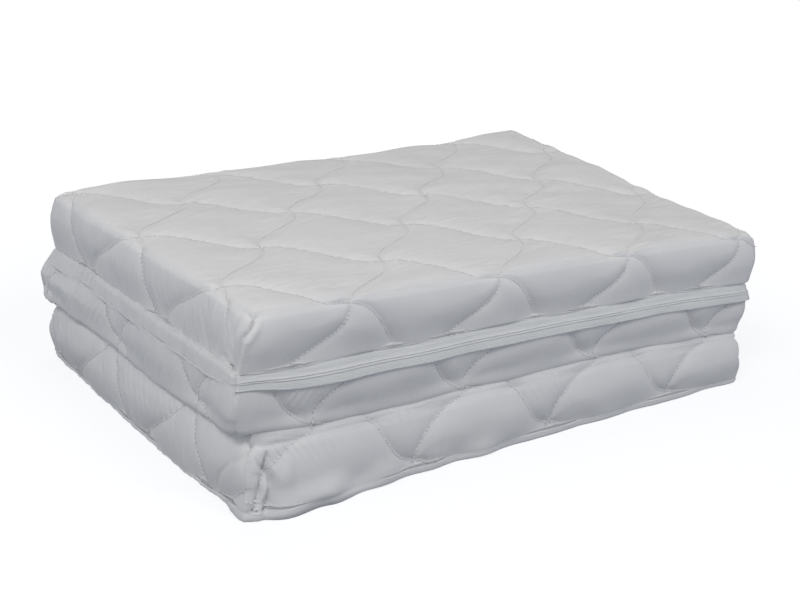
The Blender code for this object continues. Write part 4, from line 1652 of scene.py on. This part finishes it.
class RowTree:
    """A node tree that repeats a small shape along lines."""

    SIZES = ("Pitch", "Length", "Thickness", "Height")

    def __init__(self, name: str, finish: bpy.types.Material) -> None:
        """Builds the tree."""
        self.tree = bpy.data.node_groups.new(name, "GeometryNodeTree")
        face = self.tree.interface
        face.new_socket("Geometry", in_out="INPUT", socket_type="NodeSocketGeometry")
        for size in self.SIZES:
            face.new_socket(size, in_out="INPUT", socket_type="NodeSocketFloat")
        face.new_socket("Geometry", in_out="OUTPUT", socket_type="NodeSocketGeometry")
        graph = Graph(self.tree)
        start = graph.node("NodeGroupInput")
        size = {name: start.output(name) for name in self.SIZES}
        curve = graph.node("GeometryNodeMeshToCurve", None, {0: start.output("Geometry")})
        spacing = {"Curve": curve, "Length": size["Pitch"]}
        spaced = graph.node("GeometryNodeResampleCurve", {"mode": "LENGTH"}, spacing)
        bead = graph.node(
            "GeometryNodeMeshUVSphere", None, {"Segments": 6, "Rings": 4, "Radius": 0.5}
        )
        scale = graph.node(
            "ShaderNodeCombineXYZ",
            None,
            {0: size["Length"], 1: size["Thickness"], 2: size["Height"]},
        )
        tangent = graph.node("GeometryNodeInputTangent")
        outward = graph.node(
            "GeometryNodeInputNamedAttribute", {"data_type": "FLOAT_VECTOR"}, {"Name": "outward"}
        )
        first = graph.node(
            "FunctionNodeAlignRotationToVector", {"axis": "X"}, {"Vector": tangent}
        )
        second = graph.node(
            "FunctionNodeAlignRotationToVector",
            {"axis": "Z", "pivot_axis": "X"},
            {"Rotation": first, "Vector": outward},
        )
        laid = graph.node(
            "GeometryNodeInstanceOnPoints",
            None,
            {"Points": spaced, "Instance": bead, "Rotation": second, "Scale": scale},
        )
        real = graph.node("GeometryNodeRealizeInstances", None, {0: laid})
        dressed = graph.node(
            "GeometryNodeSetMaterial", None, {"Geometry": real, "Material": finish}
        )
        graph.node("NodeGroupOutput", None, {0: dressed})

    def apply(
        self, lines: bpy.types.Object, name: str, sizes: dict[str, float]
    ) -> bpy.types.Object:
        """Runs the tree on lines, and keeps the result as a plain mesh.

        Args:
            lines: The object of bare edges, which is removed.
            name: The name of the new piece.
            sizes: A value for each of the tree's named inputs.

        Returns:
            The new piece.
        """
        modifier = lines.modifiers.new("row", "NODES")
        modifier.node_group = self.tree
        for item in self.tree.interface.items_tree:
            if item.item_type == "SOCKET" and item.in_out == "INPUT" and item.name in sizes:
                modifier[item.identifier] = sizes[item.name]
        bpy.context.view_layer.update()
        evaluated = lines.evaluated_get(bpy.context.evaluated_depsgraph_get())
        mesh = bpy.data.meshes.new_from_object(evaluated)
        mesh.name = name
        if "outward" in mesh.attributes:
            mesh.attributes.remove(mesh.attributes["outward"])
        mesh.shade_smooth()
        made = bpy.data.objects.new(name, mesh)
        bpy.context.scene.collection.objects.link(made)
        bpy.data.objects.remove(lines)
        return made


def stitch_row(
    name: str, lines: list[tuple[Points, Points]], finish: bpy.types.Material, stitch: Stitch
) -> bpy.types.Object:
    """A row of stitches along lines."""
    tree = RowTree(f"{name}_tree", finish)
    sizes = dict(zip(RowTree.SIZES, (stitch.pitch, stitch.length, stitch.thread, stitch.thread)))
    return tree.apply(path_object(f"{name}_line", lines, stitch.lift), name, sizes)


# ---------------------------------------------------------------- the zip


@dataclass
class Zip:
    """The concealed zip along the middle panel's upper edge and round its right corner."""

    case: PanelCase
    first_end: float = -0.310
    last_end: float = 0.142
    upper_span: Span = (0.0012, 0.01278)
    lower_span: Span = (0.01284, 0.0224)
    thickness: float = 0.0010
    proud: float = 0.0004
    rib: float = 0.0019
    rib_height: float = 0.0010
    step: float = 0.0024
    teeth_inset: float = 0.0004
    seam_run: float = 0.0212
    strip: float = 0.0001

    def build(self, finishes: Finishes) -> list[bpy.types.Object]:
        """Makes the tapes and coils.

        Args:
            finishes: The materials.

        Returns:
            The zip's pieces.
        """
        pieces = []
        for name, node, span in (
            ("zip_upper_band", "zip_upper_tape", self.upper_span),
            ("zip_lower_band", "zip_lower_tape", self.lower_span),
        ):
            piece = self._band(name, span, finishes.tape)
            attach(piece, "middle_panel")
            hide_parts(node)
            pieces.append(piece)
        rows = (
            ("zip_upper_teeth", "zip_upper_coil", self.upper_span[1] - self.teeth_inset),
            ("zip_lower_teeth", "zip_lower_coil", self.lower_span[0] + self.teeth_inset),
        )
        for name, node, run in rows:
            piece = self._teeth(name, run, finishes.coil)
            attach(piece, "middle_panel")
            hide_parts(node)
            pieces.append(piece)
        line = self._line(self.seam_run, self.proud)
        stitch = Stitch(pitch=0.0030, length=0.0021, thread=0.0007, lift=0.0003)
        seam = stitch_row("zip_seam", [line], finishes.thread, stitch)
        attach(seam, "middle_panel")
        pieces.append(seam)
        return pieces

    def _net(self, runs: Points) -> tuple[SheetGrid, Points]:
        """A strip of the case's sheet along the zip, and its columns in order."""
        form = self.case.look.form
        rows = form.whole - runs[::-1]
        net = SheetGrid(form, self.case.near, self.step, self.step, rows, False, False)
        lines, back = net.wall_index(Side.BACK)
        first = np.flatnonzero(lines > self.first_end)[0]
        lines_v, right = net.wall_index(Side.RIGHT)
        last = np.flatnonzero(lines_v > -self.last_end)[0]
        columns = list(back[first:]) + list(right[::-1][1:])[: len(lines_v) - 1 - last]
        return net, np.array(columns)

    def _placed(self, net: SheetGrid, columns: Points, away: Points) -> Points:
        """Points of the strip, moved outwards from the case."""
        lift = np.zeros(len(net.u))
        lift[columns] = away
        return self.case.placed(net, lift)[columns]

    def _line(self, run: float, away: float) -> tuple[Points, Points]:
        """A line along the zip, some way out from the case, and the outward ways there."""
        net, columns = self._net(np.array((run, run + self.strip)))
        spots = columns[:, :1]
        line = self._placed(net, spots, np.full(spots.shape, away))[:, 0]
        return line, self.case.look.place.turn(net.normal[spots[:, 0]])

    def _band(
        self, name: str, span: Span, finish: bpy.types.Material
    ) -> bpy.types.Object:
        """One tape: a closed strip with soft ribs along it."""
        runs = np.linspace(span[0], span[1], 29)
        net, columns = self._net(runs)
        across = np.linspace(0, 1, columns.shape[1])[::-1]
        runs = span[0] + across * (span[1] - span[0])
        meeting = span[1] if name == "zip_upper_band" else span[0]
        gap = np.abs(runs - meeting) / self.rib
        rib = self.rib_height * np.sin(math.pi * np.clip(gap, 0, 1)) ** 1.4
        fold = 0.00025 * bell((runs - meeting) / self.rib - (2 if meeting > span[0] else -2), 0.5)
        weave = 0.00005 * np.cos(across * 2 * math.pi * 5)
        lift = self.proud + rib + fold + weave
        outer = self._placed(net, columns, np.broadcast_to(lift, columns.shape))
        away = np.full(columns.shape, self.proud - self.thickness)
        inner = self._placed(net, columns, away)
        rows, count = columns.shape
        points = np.concatenate((outer.reshape(-1, 3), inner.reshape(-1, 3)))
        index = np.arange(rows * count).reshape(rows, count)
        below = index + rows * count
        faces = []
        a, b, c, d = index[:-1, :-1], index[1:, :-1], index[1:, 1:], index[:-1, 1:]
        faces += np.stack((a, b, c, d), -1).reshape(-1, 4).tolist()
        a, b, c, d = below[:-1, :-1], below[:-1, 1:], below[1:, 1:], below[1:, :-1]
        faces += np.stack((a, b, c, d), -1).reshape(-1, 4).tolist()
        rim = np.concatenate((index[:, 0], index[-1, 1:], index[-2::-1, -1], index[0, -2:0:-1]))
        for k, first in enumerate(rim):
            second = rim[(k + 1) % len(rim)]
            faces.append([second, first, first + rows * count, second + rows * count])
        steps = np.linalg.norm(np.diff(outer[:, 0], axis=0), axis=1)
        along = np.concatenate(([0.0], np.cumsum(steps)))
        width = across * (span[1] - span[0])
        sheet = np.stack(np.broadcast_arrays(along[:, None], width[None, :]), -1).reshape(-1, 2)
        piece = new_piece(name, points, faces, finish, np.concatenate((sheet, sheet)))
        fix_normals(piece)
        return piece

    def _teeth(self, name: str, run: float, finish: bpy.types.Material) -> bpy.types.Object:
        """A row of coil turns behind the tape's edge, laid by a node tree."""
        line = self._line(run, -self.thickness - self.teeth_inset)
        tree = RowTree(f"{name}_tree", finish)
        sizes = {"Pitch": 0.00125, "Length": 0.0009, "Thickness": 0.0022, "Height": 0.0014}
        return tree.apply(path_object(f"{name}_line", [line], 0.0), name, sizes)


def fix_normals(piece: bpy.types.Object) -> None:
    """Turns a closed piece's faces outwards."""
    work = bmesh.new()
    work.from_mesh(piece.data)
    bmesh.ops.recalc_face_normals(work, faces=work.faces[:])
    work.to_mesh(piece.data)
    work.free()


# ---------------------------------------------------------------- cloth hinges


@dataclass
class ClothHinge:
    """A strip of cloth, folded over between the edges of two panels, that joins them."""

    name: str
    node: str
    bodies: tuple[str, str]
    at_back: bool
    cloth: float = 0.0009
    step: float = 0.0040
    across: int = 25
    ripple: float = 0.0002
    blend_half: float = 0.006

    def build(self, finishes: Finishes, settle: Settle) -> bpy.types.Object:
        """Makes the strip in its CAD solid's place.

        Args:
            finishes: The materials.
            settle: How the levels shift.

        Returns:
            The strip.
        """
        low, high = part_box(self.node)
        across = np.linspace(-1, 1, self.across)
        crest, ends = (high.y, low.y) if self.at_back else (low.y, high.y)
        reach = crest - ends - math.copysign(self.cloth, crest - ends)
        line_y = ends + reach * (1 - across**2)
        line_z = (low.z + high.z) / 2 + (high.z - low.z - 2 * self.cloth) / 2 * across
        way = np.stack((np.gradient(line_z), -np.gradient(line_y)), -1)
        way = unit(way) * (1 if self.at_back else -1)
        section = np.stack((line_y, line_z), -1)
        section = np.concatenate((section, (section + way * self.cloth)[::-1]))
        xs = np.linspace(low.x, high.x, max(2, round((high.x - low.x) / self.step)))
        ripple = Waves(41, 0.05, 0.02).at(xs, xs * 0) * self.ripple
        grid = np.zeros((len(xs), len(section), 3))
        grid[:, :, 0] = xs[:, None]
        grid[:, :, 1] = section[None, :, 0] + ripple[:, None]
        grid[:, :, 2] = section[None, :, 1]
        points = settle.moved(grid.reshape(-1, 3))
        index = np.arange(len(points)).reshape(grid.shape[:2])
        after = np.roll(index, -1, axis=1)
        quads = np.stack((index[:-1], index[1:], after[1:], after[:-1]), -1).reshape(-1, 4)
        half = len(across)
        faces = quads.tolist()
        for column in (index[0], index[-1]):
            there, back = column[:half], column[::-1][:half]
            faces += np.stack((there[:-1], there[1:], back[1:], back[:-1]), -1).tolist()
        sheet = np.column_stack((points[:, 0], points[:, 2]))
        piece = new_piece(self.name, points, faces, finishes.lining, sheet)
        fix_normals(piece)
        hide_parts(self.node)
        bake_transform(piece)
        return piece


# ---------------------------------------------------------------- stage


@dataclass(frozen=True)
class Lamp:
    """One soft square lamp that looks at a target."""

    name: str
    spot: tuple[float, float, float]
    size: float
    power: float
    colour: tuple[float, float, float]
    target: tuple[float, float, float] = (0.0, 0.0, 0.1)

    def build(self) -> None:
        """Hangs the lamp."""
        data = bpy.data.lights.new(self.name, "AREA")
        data.size = self.size
        data.energy = self.power
        data.color = self.colour
        lamp = bpy.data.objects.new(self.name, data)
        turn = (Vector(self.spot) - Vector(self.target)).to_track_quat("Z", "Y")
        lamp.matrix_world = Matrix.Translation(self.spot) @ turn.to_matrix().to_4x4()
        bpy.context.scene.collection.objects.link(lamp)


LAMPS = (
    Lamp("key", (-1.45, -0.95, 1.95), 0.9, 18.2, (1.0, 0.985, 0.965)),
    Lamp("front_top", (0.35, -1.60, 1.90), 0.9, 9.5, (1.0, 0.985, 0.97)),
    Lamp("overhead", (0.3, 0.8, 2.4), 1.6, 11.5, (1.0, 0.95, 0.87)),
    Lamp("front_fill", (0.8, -2.3, 0.4), 1.2, 11.0, (0.84, 0.91, 1.0)),
    Lamp("left_fill", (-2.3, 0.3, 0.6), 1.0, 8.6, (0.88, 0.94, 1.0)),
)


@dataclass
class Studio:
    """Floor, backdrop, lights and the camera."""

    pixels: int = 800
    focal_pixels: float = 1337.0
    sensor: float = 36.0
    spot: tuple[float, float, float] = (-0.78165, -1.05005, 0.5547)
    azimuth: float = math.radians(-36.48)
    elevation: float = math.radians(20.12)
    roll: float = math.radians(3.37)
    floor_size: float = 6.0
    floor_paint: Colour = (0.26, 0.27, 0.30, 1.0)
    glow_near: Span = (0.45, 0.81)
    glow_far: Span = (1.6, 1.06)
    sky_colour: Colour = (0.83, 0.88, 1.0, 1.0)
    sky_strength: float = 0.20
    white: Colour = (1.0, 1.0, 1.0, 1.0)

    def build(self) -> None:
        """Sets up the stage."""
        for name in ("Cube", "Light", "Camera"):
            if name in bpy.data.objects:
                bpy.data.objects.remove(bpy.data.objects[name])
        self._camera()
        self._floor()
        self._lights()
        bpy.context.scene.view_settings.view_transform = "Standard"

    def _camera(self) -> None:
        """The camera, at the viewing angle of the reference picture."""
        az, el = self.azimuth, self.elevation
        back = Vector((math.sin(az) * math.cos(el), -math.cos(az) * math.cos(el), math.sin(el)))
        right = (-back).cross(Vector((0, 0, 1))).normalized()
        up = right.cross(-back)
        turned = right * math.cos(self.roll) + up * math.sin(self.roll)
        risen = up * math.cos(self.roll) - right * math.sin(self.roll)
        data = bpy.data.cameras.new("studio_camera")
        data.sensor_width = self.sensor
        data.lens = self.focal_pixels / self.pixels * self.sensor
        camera = bpy.data.objects.new("studio_camera", data)
        axes = Matrix((turned, risen, back)).transposed().to_4x4()
        camera.matrix_world = Matrix.Translation(self.spot) @ axes
        bpy.context.scene.collection.objects.link(camera)
        bpy.context.scene.camera = camera

    def _seen(self, graph: Graph) -> Signal:
        """One for what the camera, a gloss or a glass looks at."""
        light = graph.node("ShaderNodeLightPath")
        gloss = light.output("Is Glossy Ray")
        glass = light.output("Is Transmission Ray")
        return light.output("Is Camera Ray").most(gloss).most(glass)

    def _floor(self) -> None:
        """A pale floor that keeps the shadow and meets the backdrop without an edge."""
        half = self.floor_size / 2
        corners = np.array(((-half, -half, 0), (half, -half, 0), (half, half, 0), (-half, half, 0)))
        material = bpy.data.materials.new("studio_floor")
        material.use_nodes = True
        material.node_tree.nodes.clear()
        graph = Graph(material.node_tree)
        seen = self._seen(graph)
        place = graph.solid()
        away = graph.node("ShaderNodeVectorMath", {"operation": "LENGTH"}, {0: place}, "Value")
        ends = dict(zip((1, 3, 2, 4), self.glow_near + self.glow_far))
        rise = graph.node("ShaderNodeMapRange", None, {"Value": away} | ends)
        paint = graph.node("ShaderNodeBsdfDiffuse", None, {"Color": self.floor_paint})
        light = {"Color": self.white, "Strength": seen * rise}
        glow = graph.node("ShaderNodeEmission", None, light)
        both = graph.node("ShaderNodeAddShader", None, {0: paint, 1: glow})
        graph.node("ShaderNodeOutputMaterial", None, {"Surface": both})
        floor = new_piece("studio_floor", corners, [(0, 1, 2, 3)], material)

    def _lights(self) -> None:
        """An even sky, a warm lamp overhead and a cool one from the front."""
        world = bpy.data.worlds.new("studio_sky")
        bpy.context.scene.world = world
        world.use_nodes = True
        world.node_tree.nodes.clear()
        graph = Graph(world.node_tree)
        seen = self._seen(graph)
        dim = {"Color": self.sky_colour, "Strength": self.sky_strength}
        sky = graph.node("ShaderNodeBackground", None, dim)
        white = graph.node("ShaderNodeBackground", None, {"Color": self.white, "Strength": 1.0})
        both = graph.node("ShaderNodeMixShader", None, {0: seen, 1: sky, 2: white})
        graph.node("ShaderNodeOutputWorld", None, {"Surface": both})
        for lamp in LAMPS:
            lamp.build()


# ---------------------------------------------------------------- this mattress

TOP_FOLDS = (
    Fold(((7, 172), (2, 163), (-5, 155)), -6.5, 1.8, True),
    Fold(((14, 171), (9, 162), (3, 150)), 2.0, 4.0),
    Fold(((0, 172), (-6, 162), (-10, 152)), 1.5, 3.5),
    Fold(((-5, 156), (-8, 138), (-9, 120)), -3.0, 1.3, True),
    Fold(((-14, 157), (-16, 144), (-15, 123)), 1.6, 2.6),
    Fold(((-16, 173), (-21, 155), (-18, 142)), -2.8, 1.8, True),
    Fold(((-42, 163), (-31, 155), (-22, 138), (-17, 124)), 2.2, 4.0),
    Fold(((-42, 181), (-50, 158), (-54, 122)), -2.4, 1.7, True),
    Fold(((-51, 122), (-40, 126), (-32, 128)), -2.4, 1.6, True),
    Fold(((-36, 123), (-29, 122), (-20, 121)), -2.8, 1.8, True),
    Fold(((70, 172), (100, 150), (112, 146)), 0.5, 7.0),
)
TOP_RUFFLES = (
    Ruffle(11, 26, 62, 124, 12, 6.0, 0.55, 0.6),
    Ruffle(12, 190, 232, 122, 13, 6.5, 0.5, 0.6),
    Ruffle(13, 346, 390, 122, 13, 6.5, 0.5, 0.6),
    Ruffle(14, -340, -215, 132, 26, 8.5, 0.6, 0.4),
    Ruffle(15, -180, -62, 134, 26, 9.0, 0.8, 0.4),
)
MIDDLE_FOLDS = (
    Fold(((-18, 64), (-10, 70), (-1, 73)), -0.9, 1.2, True),
    Fold(((3, 117), (24, 118), (50, 116)), -0.5, 1.4),
    Fold(((3, 114), (22, 113), (42, 110)), 0.5, 1.6),
)
MIDDLE_RUFFLES = (
    Ruffle(21, 40, 84, 96, 13, 6.5, 0.75, -0.5),
    Ruffle(22, 200, 240, 94, 13, 6.5, 0.6, -0.5),
    Ruffle(23, 360, 400, 94, 13, 6.5, 0.6, -0.5),
    Ruffle(24, -390, -250, 94, 26, 8.5, 0.75, -0.5),
    Ruffle(25, -215, -110, 84, 20, 9.0, 0.6, -0.5),
)
BOTTOM_FOLDS = (
    Fold(((26, 44), (24, 35), (28, 24)), -8.5, 1.8, True),
    Fold(((33, 41), (33, 34), (35, 25)), 1.8, 3.8),
    Fold(((25, 27), (20, 17), (13, 9), (7, 1)), 2.4, 2.3),
    Fold(((30, 30), (27, 20), (21, 11), (14, 3)), -5.5, 1.8, True),
    Fold(((19, 27), (14, 17), (7, 8), (1, 1)), -4.2, 1.5, True),
    Fold(((13, 42), (18, 37), (24, 32)), -2.8, 1.5, True),
    Fold(((8, 31), (16, 31), (24, 28)), -2.2, 1.4, True),
    Fold(((-18, 11), (0, 21), (15, 20)), -2.2, 1.6, True),
    Fold(((-8, 5), (4, 8), (9, 5)), -1.4, 1.6, True),
    Fold(((6, 25), (9, 16), (4, 8)), 1.2, 5.0),
    Fold(((42, 46), (44, 36), (42, 20)), 2.2, 6.0),
    Fold(((-25, 36), (-8, 43), (10, 48), (28, 51), (52, 55)), -2.2, 1.7, True),
    Fold(((-26, 38), (-43, 23), (-47, 12), (-35, 3)), -2.2, 1.6, True),
)
BOTTOM_RUFFLES = (
    Ruffle(31, 18, 98, 47, 11, 6.5, 1.15, 0.9),
    Ruffle(32, 128, 180, 52, 12, 7.0, 0.65, 0.9),
    Ruffle(33, 300, 350, 52, 12, 7.0, 0.65, 0.9),
    Ruffle(34, 170, 212, 14, 15, 8.0, 0.55, 0.0),
    Ruffle(35, -385, -250, 46, 24, 9.0, 0.6, 0.5),
    Ruffle(36, -235, -110, 44, 24, 9.0, 0.6, 0.5),
)


def panel_looks() -> list[PanelLook]:
    """What the three panels' cases are like, from the bottom up."""
    height = 0.060
    return [
        PanelLook(
            "bottom",
            Place(-0.00125, -0.00385, 0.0, height),
            CaseForm(corner=0.014, face_edge=0.013, foot_edge=0.003),
            Quilting(0.110, -0.164),
            seam_height=0.0050,
            folds=BOTTOM_FOLDS,
            ruffles=BOTTOM_RUFFLES,
            lap_face=0.0016,
            press=0.8,
            puff=0.0080,
            puff_wall=0.72,
            near_seam=0.0,
            soften=(0.0040, 0.0020, 0.0060),
            soft_down=0.020,
            swell=(0.0040, 0.0065, 0.0070),
            swell_near=(0.0058, 0.0040, 0.0030),
            swell_right=(0.0015, -0.0060, 0.0085),
            near_round=0.0055,
            low_seam=0.0028,
        ),
        PanelLook(
            "middle",
            Place(-0.00275, 0.00385, 0.0604, height, True),
            CaseForm(corner=0.012, face_edge=0.005, foot_edge=0.005, bulge=0.003),
            Quilting(-0.071, 0.202),
            folds=MIDDLE_FOLDS,
            ruffles=MIDDLE_RUFFLES,
            seed=2,
            lap_face=0.0030,
            lap_foot=0.0014,
            press=0.85,
            edge_press=0.7,
            flare=0.0042,
            near_seam=2.2,
            swell=(0.0110, 0.0090, -0.0050),
            swell_near=(0.0010, 0.0008, 0.0),
            swell_span=(0.02, 0.19),
            near_push=(0.0015, 0.0075, 0.0045),
            seam_depth=0.2,
        ),
        PanelLook(
            "top",
            Place(0.00275, 0.00115, 0.1208, height),
            CaseForm(corner=0.014, face_edge=0.010, foot_edge=0.004, bulge=0.0032, crown=0.001),
            Quilting(-0.0425, -0.048),
            seam_height=0.0009,
            folds=TOP_FOLDS,
            ruffles=TOP_RUFFLES,
            seed=3,
            lap_foot=0.0020,
            near_seam=0.0,
            soften=(0.0034, 0.0024, 0.0030),
            swell=(0.0020, 0.0045, 0.0035),
            swell_right=(0.0010, 0.0, 0.0005),
            near_push=(0.0100, 0.0040, 0.0),
            near_round=0.0030,
            drape=0.00045,
            far_press=0.65,
        ),
    ]


def main() -> None:
    """Builds the mattress and its stage, and reports each piece."""
    logging.basicConfig(level=logging.INFO, format="%(message)s")
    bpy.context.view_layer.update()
    Studio().build()
    finishes = Finishes.build()
    settle = Settle()
    pieces = []
    cases = {}
    for look in panel_looks():
        cases[look.name] = PanelCase(look, settle)
        pieces += cases[look.name].build(finishes)
    pieces += Zip(cases["middle"]).build(finishes)
    for hinge in (
        ClothHinge(
            "lower_hinge_cloth", "lower_hinge_strip", ("bottom_panel", "middle_panel"), True
        ),
        ClothHinge("upper_hinge_cloth", "upper_hinge_strip", ("middle_panel", "top_panel"), False),
    ):
        pieces.append(hinge.build(finishes, settle))
    for node in ("zip_slider", "zip_pull"):
        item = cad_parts[node]
        item.data.materials.clear()
        item.data.materials.append(finishes.metal)
    for piece in pieces:
        LOG.info("%s: %d points", piece.name, len(piece.data.vertices))


if __name__ == "__main__":
    main()
